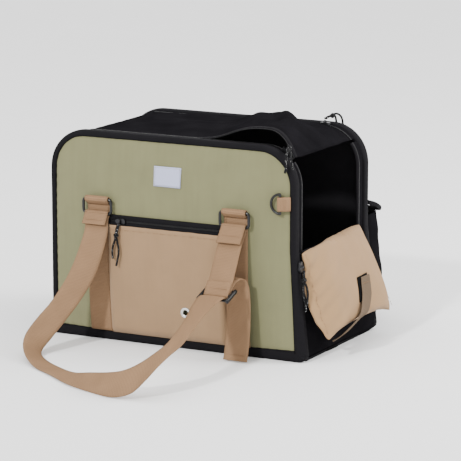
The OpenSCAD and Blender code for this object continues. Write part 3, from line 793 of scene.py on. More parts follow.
def net(x):
    """Open mesh of crossed threads."""
    points, faces = [], []
    y0, y1, z0, z1 = WINDOW
    pitch, half = 0.0030, 0.00035

    def bar(a, b, w, d):
        brick(points, faces, [q for p in (a, b) for q in (p - w - d, p + w - d, p + w + d, p - w + d)])

    deep = Vector((half, 0, 0))
    for k in range(1, int((y1 - y0) / pitch)):
        y = y0 + k * pitch
        bar(Vector((x, y, z0)), Vector((x, y, z1)), Vector((0, half, 0)), deep)
    for k in range(1, int((z1 - z0) / pitch)):
        z = z0 + k * pitch
        bar(Vector((x + 0.0004, y0, z)), Vector((x + 0.0004, y1, z)), Vector((0, 0, half)), deep)
    obj = add_mesh("end_net", points, faces, smooth=False)
    dress(obj, "net", "bag", "mesh", "left_end_mesh")


left_end()

# ---------------------------------------------------------------- top

TOP_PATH = [p for p in OUTLINE
            if p.x > TOP_START and p.z > CORNER_Z + 0.001 and end_angle_of(p) < END_ANGLE]
EDGE_Y = -SEAM_Y + 0.0155              # front edge of the flap
REAR_Y = SEAM_Y - 0.0148
HINGE_Y = 0.025
FOLDS = ((0.0032, 0.026, 0.006), (0.004, 0.071, 0.007), (-0.003, 0.048, 0.010))   # height, y and width


def top_rise(p, y):
    """Crown, fold lines and the unzipped part, which stands up near the right end."""
    v = (y - EDGE_Y) / (HINGE_Y - 0.010 - EDGE_Y)       # 0 at the flap's edge, 1 before the hinge
    ridge_x = 0.141 - 0.030 * min(1.3, v)
    height = 0.0235 + 0.0025 * min(1, v)
    if y > 0.012:
        height *= max(0.0, 1 - (y - 0.012) / 0.080) ** 1.3
    off = p.x - ridge_x
    shape = math.exp(-(abs(off) / (0.034 if off > 0 else 0.068)) ** 2.8)
    lift = height * shape * (1 - 0.30 * math.sin(math.pi * min(1, max(0, v))))
    bunch = shape * (0.0024 * math.sin((p.x * 0.9 + y * 0.8) * 120)
                     + 0.0016 * math.sin((p.x * 0.7 - y) * 190))
    lift += bunch * min(1, max(0, (y - EDGE_Y) / 0.03)) * min(1, max(0, (REAR_Y - y) / 0.04))
    fade = min(1, max(0, (p.x - TOP_START) / 0.05)) * min(1, max(0, (0.19 - p.x) / 0.04))
    crown = 0.004 * max(0.0, 1 - (y / 0.094) ** 2) * fade
    folds = fade * (1 - 0.7 * shape) * sum(h * math.exp(-((y - at) / wide) ** 2) for h, at, wide in FOLDS)
    edge = min(1, (y - EDGE_Y) / 0.02) if y < 0 else min(1, (REAR_Y - y) / 0.02)
    wrinkle = 0.0022 * rough_noise(Vector((p.x * 0.8, y * 1.5, 0)), 24, 4.0) * edge
    return lift + crown + folds + wrinkle


def top():
    cloth = gusset_sheet("top_cloth", TOP_PATH, EDGE_Y, REAR_Y, 64, CLOTH, top_rise)
    dress(cloth, "black", None, "black_fabric", "top_rear_panel", "top_flap", "top_flap_binding")
    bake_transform(cloth)
    edge = [Vector((p.x, EDGE_Y, p.z)) + normal_at(TOP_PATH, i) * (top_rise(p, EDGE_Y) - 0.001)
            for i, p in enumerate(TOP_PATH)]
    tape = sweep("flap_edge_tape", edge, ellipse(0.0045, 0.0017, 14, 0.8), lambda i: Vector((0, 1, 0.1)))
    dress(tape, "binding", "top_cover", "black_binding")
    line = [p + Vector((0, -0.0048, -0.0004)) for p in edge]
    zip_teeth("flap_zip_teeth", line, BACKWARD, "top_cover")
    for s, name in ((-1, "front"), (1, "rear")):
        strip = gusset_sheet(f"top_{name}_strip_cloth", TOP_PATH, s * (SEAM_Y + 0.001),
                             s * (SEAM_Y - 0.0068), 4, 0.002,
                             lambda p, y: 0.0004 * rough_noise(p, 50, 2.0))
        dress(strip, "black", "bag", "black_fabric", f"top_{name}_strip")
        tape = gusset_sheet(f"top_{name}_tape", TOP_PATH, s * (SEAM_Y - 0.006), s * (SEAM_Y - 0.0138),
                            3, 0.0010, lambda p, y: -0.0006)
        dress(tape, "tape", "bag", "zip_tape", "top_zip_tape" if s < 0 else "top_rear_zip_tape")
        line = [Vector((p.x, s * (SEAM_Y - 0.0125), p.z)) + normal_at(TOP_PATH, i) * 0.0004
                for i, p in enumerate(TOP_PATH)]
        zip_teeth(f"top_{name}_teeth", line, BACKWARD, "bag")


TOOTH_PITCH, TOOTH_HALF = 0.0017, 0.0013
TOOTH = ((-0.0005, -0.0004), (0.0005, -0.0004), (0.0004, 0.0006), (-0.0004, 0.0006))


def zip_teeth(name, path, across, body):
    """Row of small nylon teeth along a path."""
    points, faces = [], []
    run = 0.0
    for a, b in zip(path, path[1:]):
        gap = (b - a).length
        t = (b - a).normalized()
        up = t.cross(across).normalized()
        while run < gap:
            c = a + t * run
            brick(points, faces, [c + across * w + t * du + up * dv
                                  for w in (-TOOTH_HALF, TOOTH_HALF) for du, dv in TOOTH])
            run += TOOTH_PITCH
        run -= gap
    dress(add_mesh(name, points, faces, smooth=False), "teeth", body, "zip_tape")


top()

# ---------------------------------------------------------------- right end


def wall_x(y, z):
    bulge = 0.009 * math.sin(math.pi * min(1, z / SILL_Z)) * (1 - abs(y / HALF_D) ** 6)
    bulge *= 0.75 + 0.25 * y / HALF_D
    corner = 0.010 * math.exp(-((z - 0.035) / 0.03) ** 2) * min(1, max(0, (y - 0.02) / 0.07))
    fold = 0.0022 * rough_noise(Vector((0, y, z * 1.6)), 20, 6.0) * min(1, z / 0.02)
    return HALF_W - 0.003 + flare_at(z) + bulge + corner + fold


def right_end():
    rows, columns = 34, 44
    foot, head = 0.0032, SILL_Z - 0.0060

    def cell(i, j):
        y = -SEAM_Y - 0.001 + (2 * SEAM_Y + 0.002) * j / columns
        z = foot + (head - foot) * i / rows
        x = wall_x(y, z)
        return Vector((x, y, z)), Vector((x - 0.0025, y, z))

    cloth = sheet_solid("right_end_cloth", *both_sides(rows, columns, cell))
    dress(cloth, "black", "bag", "black_fabric", "right_end_wall")
    x, z = HALF_W - 0.0048, SILL_Z - 0.003
    sill = [Vector((x + 0.0006 * math.sin(k), y, z - 0.0008 * math.sin(math.pi * k / 24)))
            for k, y in enumerate(spaced(-SEAM_Y, SEAM_Y, 24))]
    dress(sweep("sill_binding", sill, ellipse(0.0026, 0.0030, 14, 0.8), lambda i: SIDEWAYS),
          "binding", "bag", "black_binding", "end_opening_posts")
    post = [p for p in OUTLINE
            if p.x > CORNER_X and p.z > SILL_Z - 0.004 and end_angle_of(p) > END_ANGLE - 0.02]
    for name, y0, y1 in (("front", -SEAM_Y - 0.001, -0.0985), ("rear", 0.0925, SEAM_Y + 0.001)):
        strip = gusset_sheet(f"{name}_post_cloth", post, y0, y1, 6, CLOTH,
                             lambda p, y: 0.0008 * rough_noise(p, 40, 8.0))
        dress(strip, "black", "bag", "black_fabric")
        inner = y1 if name == "front" else y0
        edge = [Vector((p.x, inner, p.z)) + normal_at(post, i) * -0.001 for i, p in enumerate(post)]
        rim = sweep(f"{name}_post_tape", edge, ellipse(0.0022, 0.0036, 12, 0.8),
                    lambda i: Vector((-1, 0, 0.2)))
        dress(rim, "tape", "bag", "zip_tape")
        line = [p + Vector((0.002, 0, 0)) for p in edge]
        zip_teeth(f"{name}_post_teeth", line, BACKWARD, "bag")


right_end()

# ---------------------------------------------------------------- front pocket, zip and label

POCKET_HALF = 0.093
POCKET_TOP = 0.174
POCKET_FOOT = BINDING_FOOT + 0.001
ZIP_Z = 0.182
EYE_LO, EYE_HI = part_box("pocket_eyelet")
EYE = (EYE_LO + EYE_HI) / 2


def pocket_depth(x, z):
    full = 0.0078 + 0.0022 * max(0, 1 - (x / POCKET_HALF) ** 2) * math.sin(math.pi * z / POCKET_TOP)
    side = min(1, (POCKET_HALF + 0.004 - abs(x)) / 0.008)
    foot = min(1, (z - POCKET_FOOT + 0.004) / 0.010)
    fold = 0.0013 * rough_noise(Vector((x * 3, 0, z)), 12, 9.0) * side * foot
    pleat = 0.0005 * math.exp(-(POCKET_TOP - z) / 0.02) * math.sin(x * 260) * side
    return full * math.sqrt(max(0, side)) * math.sqrt(max(0, foot)) + fold + pleat + 0.0004


def front_strip(name, x0, x1, z0, z1, off, thick, columns, rows):
    """Cloth on the front panel; off(x, z) is how far its face stands out."""
    xs, zs = spaced(x0, x1, columns), spaced(z0, z1, rows)

    def cell(i, j):
        x, z = xs[j], zs[i]
        y = face_y(x, z) - off(x, z)
        return Vector((x, y, z)), Vector((x, y + thick, z))

    return sheet_solid(name, *both_sides(rows, columns, cell))


def pocket():
    columns, rows = 74, 60
    x0, x1 = -POCKET_HALF - 0.004, POCKET_HALF + 0.004
    low = POCKET_FOOT - 0.0035
    zs, xs = spaced(low, POCKET_TOP + 0.002, rows), spaced(x0, x1, columns)
    front = [[Vector((x, face_y(x, z) - pocket_depth(x, z), z)) for x in xs] for z in zs]
    back = [[p + Vector((0, 0.0012, 0)) for p in row] for row in front]

    def hole(i, j):
        x, z = (xs[j] + xs[j + 1]) / 2, (zs[i] + zs[i + 1]) / 2
        return math.hypot(x - EYE.x, z - EYE.z) < 0.0048

    cloth = sheet_solid("pocket_cloth", front, back, hole, upright=True)
    dress(cloth, "beige", "bag", "beige_fabric", "front_pocket")
    tape = front_strip("pocket_zip_cloth", -POCKET_HALF - 0.003, POCKET_HALF + 0.003,
                       POCKET_TOP - 0.001, 0.190,
                       lambda x, z: 0.0034 + 0.0022 * max(0.0, (0.180 - z) / 0.007), 0.003, 60, 8)
    dress(tape, "tape", "bag", "zip_tape", "pocket_zip_tape")
    line = [Vector((x, face_y(x, ZIP_Z) - 0.0046, ZIP_Z)) for x in spaced(-0.09, 0.09, 60)]
    zip_teeth("pocket_zip_teeth", line, Vector((0, 0, 1)), "bag")
    seam_z = POCKET_TOP - 0.004
    edge = [(Vector((x, face_y(x, seam_z) - pocket_depth(x, seam_z) - 0.0002, seam_z)), FORWARD)
            for x in xs[3:-3]]
    sew("pocket_top_stitches", [edge], "thread_tan", "bag", "beige_fabric")
    label = front_strip("blank_white_label", -0.023, 0.021, 0.237, 0.266,
                        lambda x, z: 0.0018 + 0.0006 * math.sin(x * 90) * math.sin(z * 60), 0.0010, 12, 8)
    dress(label, "label", "bag", "label_white", "blank_label")
    loops = []
    corners = ((-0.0215, 0.2385), (0.0195, 0.2385), (0.0195, 0.2645), (-0.0215, 0.2645))
    for a, b in zip(corners, corners[1:] + corners[:1]):
        pts = [Vector(a).lerp(Vector(b), k / 10) for k in range(11)]
        loops.append([(Vector((p.x, face_y(p.x, p.y) - 0.0023, p.y)), FORWARD) for p in pts])
    sew("label_stitches", loops, "thread_white", "bag", "label_white",
        pitch=0.003, dash=0.002, radius=0.00025)


pocket()
repaint("pocket_eyelet", "silver")

# ---------------------------------------------------------------- webbings sewn to the panels


def flat_pairs(x, points, half=WEB_W / 2):
    """Edges of a strap whose width runs along X, from (y, z) points."""
    return [Vector((x + half, y, z)) for y, z in points], [Vector((x - half, y, z)) for y, z in points]


def arc(cy, cz, r, a0, a1, count):
    """(y, z) points round a bar; angle 0 is away from the bag, 90 is up."""
    out = []
    for k in range(count + 1):
        a = math.radians(a0 + (a1 - a0) * k / count)
        out.append((cy - r * math.cos(a), cz + r * math.sin(a)))
    return out


def sewn_webbing(name, node, s, turn):
    x = s * WEB_X
    low = BINDING_FOOT - 0.001
    zs = spaced(low, RING_Z - 0.011, 16)
    rows = [(face_y(x, z) - 0.0026, z) for z in zs]
    r = WIRE / 2 + 0.0016
    rows += arc(RING_Y, RING_Z, r, 205, -60, 12)
    rows += [(face_y(x, RING_Z - 0.010) - 0.0048, RING_Z - 0.008)]
    left, right = flat_pairs(x, rows)
    if turn:
        left, right = turned(left), turned(right)
    obj = ribbon(name, left, right, steps=2)
    dress(obj, "webbing", "bag", "beige_webbing", node)
    length_of(left)
    lift = 0.0037                        # the stitches' height over the panel
    lines = [[(Vector((x + inset, face_y(x + inset, z) - lift, z)), FORWARD) for z in zs]
             for inset in (-0.0155, 0.0155)]
    for z in (RING_Z - 0.018, RING_Z - 0.030):
        lines.append([(Vector((x + k * 0.0031, face_y(x, z) - lift, z)), FORWARD) for k in range(-5, 6)])
    if turn:
        lines = [[(Vector((-p.x, -p.y, p.z)), -up) for p, up in line] for line in lines]
    sew(name + "_stitches", lines, "thread_tan", "bag", "beige_webbing")


sewn_webbing("front_left_webbing", "front_webbing_left", -1, False)
sewn_webbing("front_right_webbing", "front_webbing_right", 1, False)
sewn_webbing("back_left_webbing", "back_webbing_left", 1, True)
sewn_webbing("back_right_webbing", "back_webbing_right", -1, True)

# ---------------------------------------------------------------- handles

GLIDE_LO, GLIDE_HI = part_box("front_adjuster")
GLIDE = (GLIDE_LO + GLIDE_HI) / 2
TILT = math.radians(20)


def in_glide(p, q):
    return (GLIDE.y + (p * math.cos(TILT) - q * math.sin(TILT)) / 1000,
            GLIDE.z + (p * math.sin(TILT) + q * math.cos(TILT)) / 1000)


LEG_START = [((-127, -154, 160), (-89, -152, 160))]
FRONT_RUN = [
    ((-134, -180, 112), (-97, -168, 111)), ((-148, -206, 73), (-111, -188, 73)),
    ((-160, -233, 48), (-124, -211, 45)), ((-162, -262, 29), (-134, -235, 22)),
    ((-146, -291, 14), (-138, -256, 6)), ((-112, -321, 3), (-112, -283, 2.4)),
    ((-66, -351, 2.4), (-68, -313, 2.4)), ((-17, -385, 2.4), (-26, -349, 10)),
    ((33, -406, 1.6), (15, -380, 22)), ((71, -416, 2), (53, -395, 30)),
    ((99, -415, 10), (78, -396, 36)), ((118, -410, 28), (96, -385, 45)),
    ((131, -398, 46), (109, -369, 56)), ((138, -378, 58), (116, -348, 65)),
    ((141, -348, 67), (114, -322, 72)), ((137, -310, 78), (108, -285, 81)),
    ((132, -262, 92), (98, -245, 92)), ((131, -222, 101), (93, -218, 100))]
BACK_RUN = [
    ((-131, -178, 116), (-93, -176, 116)), ((-131, -208, 78), (-93, -204, 78)),
    ((-130, -236, 48), (-93, -229, 46)), ((-124, -264, 22), (-89, -250, 18)),
    ((-104, -286, 7), (-76, -260, 5)), ((-66, -300, 3), (-58, -263, 3)),
    ((-16, -306, 2.4), (-18, -268, 4)), ((34, -306, 2), (26, -270, 12)),
    ((78, -302, 6), (62, -271, 26)), ((112, -290, 24), (86, -267, 42)),
    ((130, -266, 50), (98, -250, 62)), ((132, -240, 78), (94, -235, 82)),
    ((131, -216, 97), (93, -214, 97))]
THREADING = [(-13, 4.6), (-8.4, 1.6), (-5.4, -3.8), (0, -6.4), (5.4, -3.8), (8.4, 1.6), (13, 4.6)]
TAIL = [(-171, 119, 113), (-160, 122, 117), (-151, 114, 121), (-148, 92, 123), (-149, 62, 124),
        (-152, 32, 124), (-157, 10, 124), (-160, 2.2, 124)]
WRAP_R = WIRE / 2 + 0.0013


def strap_edges(run):
    """Both edges of a handle strap, from the seam round the ring to the adjuster and the free tail."""
    x = -WEB_X
    left, right = [], []
    wrap = ([(-0.1512, 0.1765), (-0.1478, 0.1822)] + arc(RING_Y, LOW_BAR_Z, WRAP_R, 0, 165, 8)
            + [(RING_Y - 0.0015, LOW_BAR_Z - 0.010)])
    for y, z in wrap:
        left.append(Vector((x - WEB_W / 2, y, z)))
        right.append(Vector((x + WEB_W / 2, y, z)))
    for a, b in LEG_START + run:
        left.append(mm(*a))
        right.append(mm(*b))
    for p, q in THREADING:
        y, z = in_glide(p, q)
        left.append(Vector((WEB_X + WEB_W / 2, y, z)))
        right.append(Vector((WEB_X - WEB_W / 2, y, z)))
    for y, z, centre in TAIL:
        left.append(mm(centre + 19, y, z))
        right.append(mm(centre - 19, y, z))
    return left, right


def cross_stitch(left, right, i, toward):
    """Row of stitches across a strap between edge points, on its side that faces toward."""
    inset, off = 0.1, 0.0013
    a, b = left[i], right[i]
    up = (left[i + 1] - left[i - 1]).cross(b - a).normalized()
    if up.dot(toward) < 0:
        up = -up
    return [(a.lerp(b, inset + (1 - 2 * inset) * k / 10) + up * off, up) for k in range(11)]


def frame_loop(half_x, half_z, centre, tilt, r, name, section, body, slot, mat, node, turn):
    """Rounded rectangular wire frame in a plane through X, tilted about X."""
    rot = Matrix.Rotation(tilt, 3, "X")
    corners = [(-half_x, -half_z), (-half_x, half_z), (half_x, half_z), (half_x, -half_z)]
    path = rounded_loop(corners, r, lambda a, b: centre + rot @ Vector((a, 0, b)), arc=5, gap=0.008)
    normal = rot @ BACKWARD
    if turn:
        path = turned(path)
        normal = Vector((-normal.x, -normal.y, normal.z))
    obj = sweep(name, path, section, lambda i: normal, True)
    dress(obj, mat, body, slot, node)


def handle(name, body, run, turn):
    flip = turned if turn else (lambda pts: pts)
    facing = Vector((0, 1 if turn else -1, 0.6))

    def sew_ends(part):
        sew(f"{name}_{part}_stitches", [cross_stitch(left, right, i, facing) for i in (1, len(left) - 2)],
            "thread_tan", body, "beige_webbing")

    left, right = map(flip, strap_edges(run))
    strap = ribbon(f"{name}_long_strap", left, right, steps=4, cup=0.0004)
    dress(strap, "webbing", body, "beige_webbing", f"{name}_handle_strap")
    length = (length_of(curve_points(left, 4)) + length_of(curve_points(right, 4))) / 2
    sew_ends("strap")

    turn_r = 0.0035                      # the short strap's turn round the adjuster's middle bar
    ladder = ([(-0.1585, 0.1705), (-0.1515, 0.1795)] + arc(RING_Y, LOW_BAR_Z, WRAP_R, 10, 165, 8)
              + [(RING_Y - 0.003, LOW_BAR_Z - 0.010), (-0.1553, 0.164), (-0.1672, 0.143), (-0.1780, 0.124)]
              + [(GLIDE.y + turn_r * math.cos(a), GLIDE.z + turn_r * math.sin(a))
                 for a in [math.radians(d) for d in (60, 0, -60, -120, -180, -240)]]
              + [(-0.1900, 0.1115), (-0.1838, 0.1205)])
    left, right = map(flip, flat_pairs(WEB_X, ladder))
    strap = ribbon(f"{name}_short_strap", left, right, steps=3)
    dress(strap, "webbing", body, "beige_webbing", f"{name}_ladder_strap")
    length_of(left)
    sew_ends("short")

    wire = ellipse(WIRE / 2, WIRE / 2, 14)
    mid = Vector((0, RING_Y, (RING_Z + LOW_BAR_Z) / 2))
    for side, s in (("left", -1), ("right", 1)):
        frame_loop(WEB_W / 2 + 0.004, (RING_Z - LOW_BAR_Z) / 2, mid + Vector((s * WEB_X, 0, 0)), 0,
                   0.0055, f"{name}_ring_{side}", wire, body, "black_metal", "ring", f"{name}_rings", turn)
    bar = ellipse(0.0016, 0.0022, 14, 0.8)
    frame_loop(WEB_W / 2 + 0.0036, 0.012, GLIDE, TILT - math.pi / 2, 0.0045,
               f"{name}_adjuster_frame", bar, body, "black_plastic", "plastic", f"{name}_adjuster", turn)
    for s in (-1, 1):
        ends = [GLIDE + Vector((s * (WEB_W / 2 + 0.0038), p * math.cos(TILT), p * math.sin(TILT)))
                for p in (-0.0145, -0.010, 0, 0.010, 0.0145)]
        cheek = sweep(f"{name}_adjuster_cheek_{'left' if s < 0 else 'right'}", flip(ends),
                      ellipse(0.0024, 0.0030, 14, 0.8), lambda i: SIDEWAYS)
        dress(cheek, "plastic", body, "black_plastic")
    middle = flip([GLIDE + Vector((x, 0, 0)) for x in (-0.0225, -0.01, 0, 0.01, 0.0225)])
    dress(sweep(f"{name}_adjuster_bar", middle, ellipse(0.0017, 0.0017, 12), lambda i: BACKWARD),
          "plastic", body, "black_plastic")


handle("front", "front_handle", FRONT_RUN, False)
handle("back", "back_handle", BACK_RUN, True)

# ---------------------------------------------------------------- D-ring and its tab

repaint("d_ring", "ring")


def d_ring_tab():
    lo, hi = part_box("d_ring_tab")
    z0, z1 = lo.z, hi.z
    bar_x, bar_y, r = 0.180, -0.131, 0.0036
    path = [(0.1925, -0.1232), (0.189, -0.1262)]
    path += [(bar_x + r * math.cos(a), bar_y + r * math.sin(a))
             for a in [math.radians(d) for d in (30, 90, 140, 190, 240, 290, 335)]]
    path += [(0.187, -0.1310), (0.1905, -0.1285), (0.1935, -0.1250)]
    left = [Vector((x, y, z0)) for x, y in path]
    right = [Vector((x, y, z1)) for x, y in path]
    tab = ribbon("d_ring_webbing", left, right, thick=0.0016, steps=2)
    dress(tab, "webbing", "bag", "beige_webbing", "d_ring_tab")
    line = [(Vector((0.1875, -0.1317, z)), FORWARD) for z in spaced(z0 + 0.003, z1 - 0.003, 6)]
    sew("d_ring_stitches", [line], "thread_tan", "bag", "beige_webbing")


d_ring_tab()

# ---------------------------------------------------------------- bottle pocket

POUCH_LO, POUCH_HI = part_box("bottle_pocket")
POUCH_FOOT, POUCH_TOP = 0.010, 0.170
POUCH_BULGE = [(POUCH_FOOT, 0.030), (0.018, 0.046), (0.030, 0.064), (0.048, 0.079), (0.076, 0.085),
               (0.105, 0.075), (0.135, 0.065), (POUCH_TOP, 0.056)]      # height and depth


def pouch_depth(z):
    for (a, da), (b, db) in zip(POUCH_BULGE, POUCH_BULGE[1:]):
        if z <= b:
            t = (z - a) / (b - a)
            t = t * t * (3 - 2 * t)
            return da + (db - da) * t
    return POUCH_BULGE[-1][1]


def bottle_pocket():
    x0, x1 = POUCH_LO.x, POUCH_HI.x
    rows, columns = 30, 30

    def cell(i, j):
        z = POUCH_FOOT + (POUCH_TOP - POUCH_FOOT) * i / rows
        a = math.pi * j / columns
        x = (x0 + x1) / 2 - (x1 - x0) / 2 * math.cos(a) * (1 - 0.05 * math.sin(a))
        y = max(-face_y(x, z), HALF_D + pouch_depth(z) * abs(math.sin(a)) ** 0.42)
        gather = 0.0012 * math.sin(j * 1.9) * math.exp(-(POUCH_TOP - z) / 0.03)
        gather += 0.0018 * rough_noise(Vector((x, y, z)), 28, 12.0)
        out = Vector((-math.cos(a), math.sin(a), 0))
        p = Vector((x, y, z)) + out * gather
        return p, p - out * 0.0016

    cloth = sheet_solid("bottle_pocket_cloth", *both_sides(rows, columns, cell))
    dress(cloth, "black", "bag", "black_fabric", "bottle_pocket")
    rim = [mm(*p) for p in ((197, 126, 190), (202, 141, 185), (202, 157, 178), (197, 169, 174), (184, 176, 172),
                            (158, 177, 172), (143, 169, 173), (136, 153, 176), (136, 135, 180))]
    smooth = curve_points(rim, 4)
    edge = sweep("bottle_pocket_edge", smooth, ellipse(0.0021, 0.0034, 12, 0.8),
                 lambda i: Vector((0, 0, 1)).cross(along(smooth, i)))
    dress(edge, "binding", "bag", "black_binding", "bottle_pocket_rim")


bottle_pocket()

# ---------------------------------------------------------------- end door: pillow, backing and strap

HINGE = Vector((HALF_W + 0.0006, 0, SILL_Z + 0.002))
LEAN = math.radians(21)
DOOR_L = 0.130
DOOR_W = 0.212


def door_point(s, y, h):
    """Point of the open door: s from the hinge, y across, h off its face towards the wall, in metres."""
    return Vector((HINGE.x + s * math.sin(LEAN) - h * math.cos(LEAN), y,
                   HINGE.z - s * math.cos(LEAN) - h * math.sin(LEAN)))


DOOR_OUT = (door_point(0, 0, -1) - door_point(0, 0, 0)).normalized()


def settle(obj, pressure, cap, steps=20):
    """Inflates a closed mesh with the cloth solver, capped so that no point moves further than cap."""
    start = [v.co.copy() for v in obj.data.vertices]
    cloth = obj.modifiers.new("inflate", "CLOTH")
    s = cloth.settings
    s.use_pressure = True
    s.uniform_pressure_force = pressure
    s.effector_weights.gravity = 0
    s.mass = 0.3
    s.tension_stiffness = 25
    s.compression_stiffness = 25
    s.shear_stiffness = 8
    s.bending_stiffness = 0.3
    s.quality = 6
    cloth.collision_settings.use_self_collision = False
    scene = bpy.context.scene
    for f in range(1, steps + 1):
        scene.frame_set(f)
    shape = obj.evaluated_get(bpy.context.evaluated_depsgraph_get()).to_mesh()
    moved = [v.co.copy() for v in shape.vertices]
    obj.modifiers.remove(cloth)
    scene.frame_set(1)
    for v, a, b in zip(obj.data.vertices, start, moved):
        step = b - a
        if step.length > cap:
            step *= cap / step.length
        v.co = a + step
    obj.data.update()


def pillow():
    rows, columns = 30, 46
    mid = -0.002

    def full(s, y):
        return max(0, math.sin(math.pi * s)) ** 0.55 * max(0, 1 - abs(y) ** 4.5) ** 0.6

    def cell(i, j):
        s, y = i / rows, 2 * j / columns - 1
        pull = 1 - 0.020 * math.sin(math.pi * s) * abs(y) ** 3
        length = 0.002 + s * (DOOR_L - 0.002) * (1 - 0.02 * (1 - y * y))
        crease = 0.0012 * rough_noise(Vector((s * 0.9, y, 0)), 5, 15.0)
        slant = max(0, y) ** 1.3 * (1 - s) ** 0.8
        bow = max(0, -y) ** 3 * math.sin(math.pi * s ** 1.3)
        at_y = mid + y * pull * (DOOR_W / 2 + 0.001) - 0.020 * slant - 0.008 * bow
        lift = Vector((0, 0, 0.008 * slant + 0.010 * (1 - y * y) * (1 - s) ** 3))
        h = 0.013 * bow
        return (door_point(length, at_y, h - 0.0012 - 0.0085 * full(s, y) - crease * full(s, y)) + lift,
                door_point(length, at_y, h + 0.0004 + 0.0100 * full(s, y) * min(1, s * 5)) + lift)

    obj = sheet_solid("door_pillow_cloth", *both_sides(rows, columns, cell))
    settle(obj, 5.0, 0.007)
    for v in obj.data.vertices:
        d = v.co - HINGE
        s = d.x * math.sin(LEAN) - d.z * math.cos(LEAN)
        y = (v.co.y - mid) / (DOOR_W / 2)
        near = math.exp(-(1 - abs(y)) / 0.09) + 0.7 * math.exp(-abs(DOOR_L - s) / 0.010)
        v.co.z += 0.0030 * math.exp(-max(0, s) / 0.008) * (1 - min(1, abs(y)) ** 6)
        inside = min(1, (1 - abs(y)) / 0.04, s / 0.012, (DOOR_L - s) / 0.006)
        pucker = 0.0008 * near * math.sin(s * 330 + 4 * rough_noise(v.co, 25, 3.0))
        fold = 0.0030 * math.exp(-(y + 1) / 0.25)
        fold *= math.sin(v.co.y * 150 + s * 260 + 3 * rough_noise(v.co, 14, 6.0))
        v.co += DOOR_OUT * (pucker + fold + 0.0014 * rough_noise(v.co, 22, 17.0)) * max(0, inside)
    sub = obj.modifiers.new("smooth", "SUBSURF")
    sub.levels = sub.render_levels = 1
    bpy.context.view_layer.objects.active = obj
    bpy.ops.object.modifier_apply(modifier="smooth")
    dress(obj, "pillow", "end_door", "beige_fabric", "door_pillow")
    return obj


def door():
    cushion = pillow()
    tree = BVHTree.FromObject(cushion, bpy.context.evaluated_depsgraph_get())

    def on_pillow(s, y, off):
        hit = tree.ray_cast(door_point(s, y, -0.05), -DOOR_OUT)[0]
        return (hit or door_point(s, y, -0.006)) + DOOR_OUT * off

    def under_pillow(s, y, off):
        hit = tree.ray_cast(door_point(s, y, 0.06), DOOR_OUT)[0]
        return (hit or door_point(s, y, 0.006)) - DOOR_OUT * off

    rows, columns = 16, 24
    front = [[under_pillow(0.006 + 0.108 * i / rows,
                           -0.098 + (0.176 + 0.016 * i / rows) * j / columns, 0.0006)
              for j in range(columns + 1)] for i in range(rows + 1)]
    back = [[p - DOOR_OUT * 0.0016 for p in row] for row in front]
    backing = sheet_solid("door_backing_cloth", front, back)
    dress(backing, "black", "end_door", "black_fabric", "door_backing")
    edges = [[(on_pillow(s, y, 0.0), DOOR_OUT) for s, y in zip(spaced(0.006, 0.124, 24), spaced(y0, y1, 24))]
             for y0, y1 in ((-0.102, -0.102), (0.080, 0.098))]
    sew("pillow_seam_stitches", edges, "thread_tan", "end_door", "beige_fabric")

    patch_rows = [[on_pillow(s + (0.030 - y) * 0.04, y - (s - 0.063) * 0.35, 0.0012)
                   for y in (-0.001, 0.006, 0.013, 0.020, 0.026, 0.031)]
                  for s in (0.063, 0.070, 0.077, 0.084, 0.091, 0.098)]
    patch_back = [[p - DOOR_OUT * 0.0011 for p in row] for row in patch_rows]
    patch = sheet_solid("pillow_hook_tape", patch_rows, patch_back)
    dress(patch, "hook", "end_door", "hook_tape", "pillow_hook_patch")
    left, right = [[on_pillow(s, y, 0.0030) for s, y in run] for run in (
        ((0.066, 0.007), (0.075, 0.003), (0.084, -0.001), (0.094, -0.006)),
        ((0.066, 0.033), (0.076, 0.030), (0.086, 0.027), (0.097, 0.023)))]
    for a, b in (((259, -27, 62), (257, 2, 56)), ((262, -42, 56), (255, -18, 50.5)),
                 ((262, -58, 50.5), (252, -33, 44)), ((257, -67, 43), (247, -42, 36)),
                 ((249, -69, 35), (238, -44, 28)), ((238, -63, 27), (227, -38, 20)),
                 ((226, -54, 20), (217, -31, 13))):
        left.append(mm(*a))
        right.append(mm(*b))
    strap = ribbon("pillow_keeper_strap", left, right, thick=0.0015, steps=4)
    # darker copy of the tan webbing: painted shade on the keeper strap
    dress(strap, "keeper", "end_door", "beige_webbing", "pillow_strap")
    length_of(left)
    line = cross_stitch(left, right, 1, DOOR_OUT)
    sew("keeper_stitches", [line], "thread_tan", "end_door", "beige_webbing")
    repaint("wall_loop_patch", "hook")


door()

# ---------------------------------------------------------------- inside: base, board and mat


def floor_mat():
    lo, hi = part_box("floor_mat")
    rows, columns = 30, 54
    border = 0.0035                      # thickness of the mat's edge

    def cell(i, j):
        x, y = lo.x + (hi.x - lo.x) * j / columns, lo.y + (hi.y - lo.y) * i / rows
        puff = min(1, min(i, rows - i, j, columns - j) / 4) ** 0.5
        seams = abs(math.sin(math.pi * (x + 0.18) / 0.06) * math.sin(math.pi * (y + 0.1) / 0.0667)) ** 0.4
        z = lo.z + border + (hi.z - lo.z - border + 0.0022 * (seams - 1)) * puff
        return Vector((x, y, z)), Vector((x, y, lo.z))

    obj = sheet_solid("floor_mat_quilt", *both_sides(rows, columns, cell))
    dress(obj, "mat", "bag", "mat_fabric", "floor_mat")


floor_mat()
repaint("base_panel", "lining")
repaint("base_board", "board")
for slider_node in ("pocket_zip_slider", "top_zip_slider", "end_zip_slider", "rear_zip_slider"):
    repaint(slider_node, "slider")

# ---------------------------------------------------------------- cord pulls


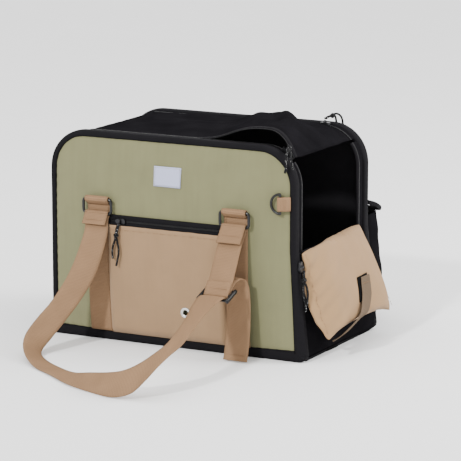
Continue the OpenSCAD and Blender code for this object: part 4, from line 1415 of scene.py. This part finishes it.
def pull_cord(key, body, knot_at, tails):
    """Knot of three rings and the two tails that hang from it."""
    knot = []
    for k, axis in enumerate(((0.2, 0.3, 1), (1, 0.4, 0.2), (0.3, 1, -0.5))):
        up = Vector(axis).normalized()
        u = up.orthogonal().normalized()
        v = up.cross(u)
        ring = [mm(*knot_at) + (u * math.cos(a) + v * math.sin(a)) * 0.0024
                for a in [2 * math.pi * q / 16 for q in range(16)]]
        knot.append(sweep(f"{key}_knot_{k}", ring, ellipse(0.0017, 0.0017, 10), lambda i, w=up: w, True))
    bpy.ops.object.select_all(action="DESELECT")
    for ring in knot:
        ring.select_set(True)
    bpy.context.view_layer.objects.active = knot[0]
    bpy.ops.object.join()
    knot = bpy.context.view_layer.objects.active
    knot.name = f"{key}_pull_knot"
    dress(knot, "cord", body, "flecked_cord", f"{key}_zip_cord")
    for letter, route in zip("ab", tails):
        pts = curve_points([mm(*p) for p in route], 4)
        data = bpy.data.curves.new(f"{key}_pull_{letter}", "CURVE")
        data.dimensions = "3D"
        data.bevel_depth = CORD_D / 2
        data.bevel_resolution = 4
        data.use_fill_caps = True
        spline = data.splines.new("POLY")
        spline.points.add(len(pts) - 1)
        for item, p in zip(spline.points, pts):
            item.co = (*p, 1)
        obj = dress(put(f"{key}_pull_{letter}", data), "cord", body, "flecked_cord", f"{key}_zip_cord")
        tuple(pts[0])
        length_of(pts)


for cord_key, (cord_body, knot_point, cord_tails) in CORDS.items():
    pull_cord(cord_key, cord_body, knot_point, cord_tails)

# ---------------------------------------------------------------- studio


def studio():
    ground = Shader("pale_floor", (0.80, 0.80, 0.80), 0.9, Specular_IOR_Level=0.1)
    grain = ground.noise(ground.place(False, (3, 3, 3)), 2.0)
    ground.colour(ground.ramp(grain, (0.795, 0.795, 0.795), (0.805, 0.805, 0.805)))
    size = 14.0
    corners = [(-size, -size, 0), (size, -size, 0), (size, size, 0), (-size, size, 0)]
    floor = add_mesh("studio_floor", corners, [(0, 1, 2, 3)])
    floor.data.materials.append(ground.mat)
    world = bpy.data.worlds.new("studio")
    world.use_nodes = True
    background = world.node_tree.nodes["Background"]
    background.inputs["Color"].default_value = (0.80, 0.80, 0.80, 1)
    background.inputs["Strength"].default_value = 2.08
    bpy.context.scene.world = world
    rise = math.radians(31)
    make_light("SUN", "key", 3.3, (0.11 * math.cos(rise), 0.99 * math.cos(rise), -math.sin(rise)),
               math.radians(4))
    make_light("AREA", "overhead", 26, (0, 0, -1), 2.5, (0.2, -0.4, 2.6))
    make_light("AREA", "right_fill", 105, (-0.78, -0.33, -0.52), 1.4, (2.4, 1.0, 1.75))


studio()
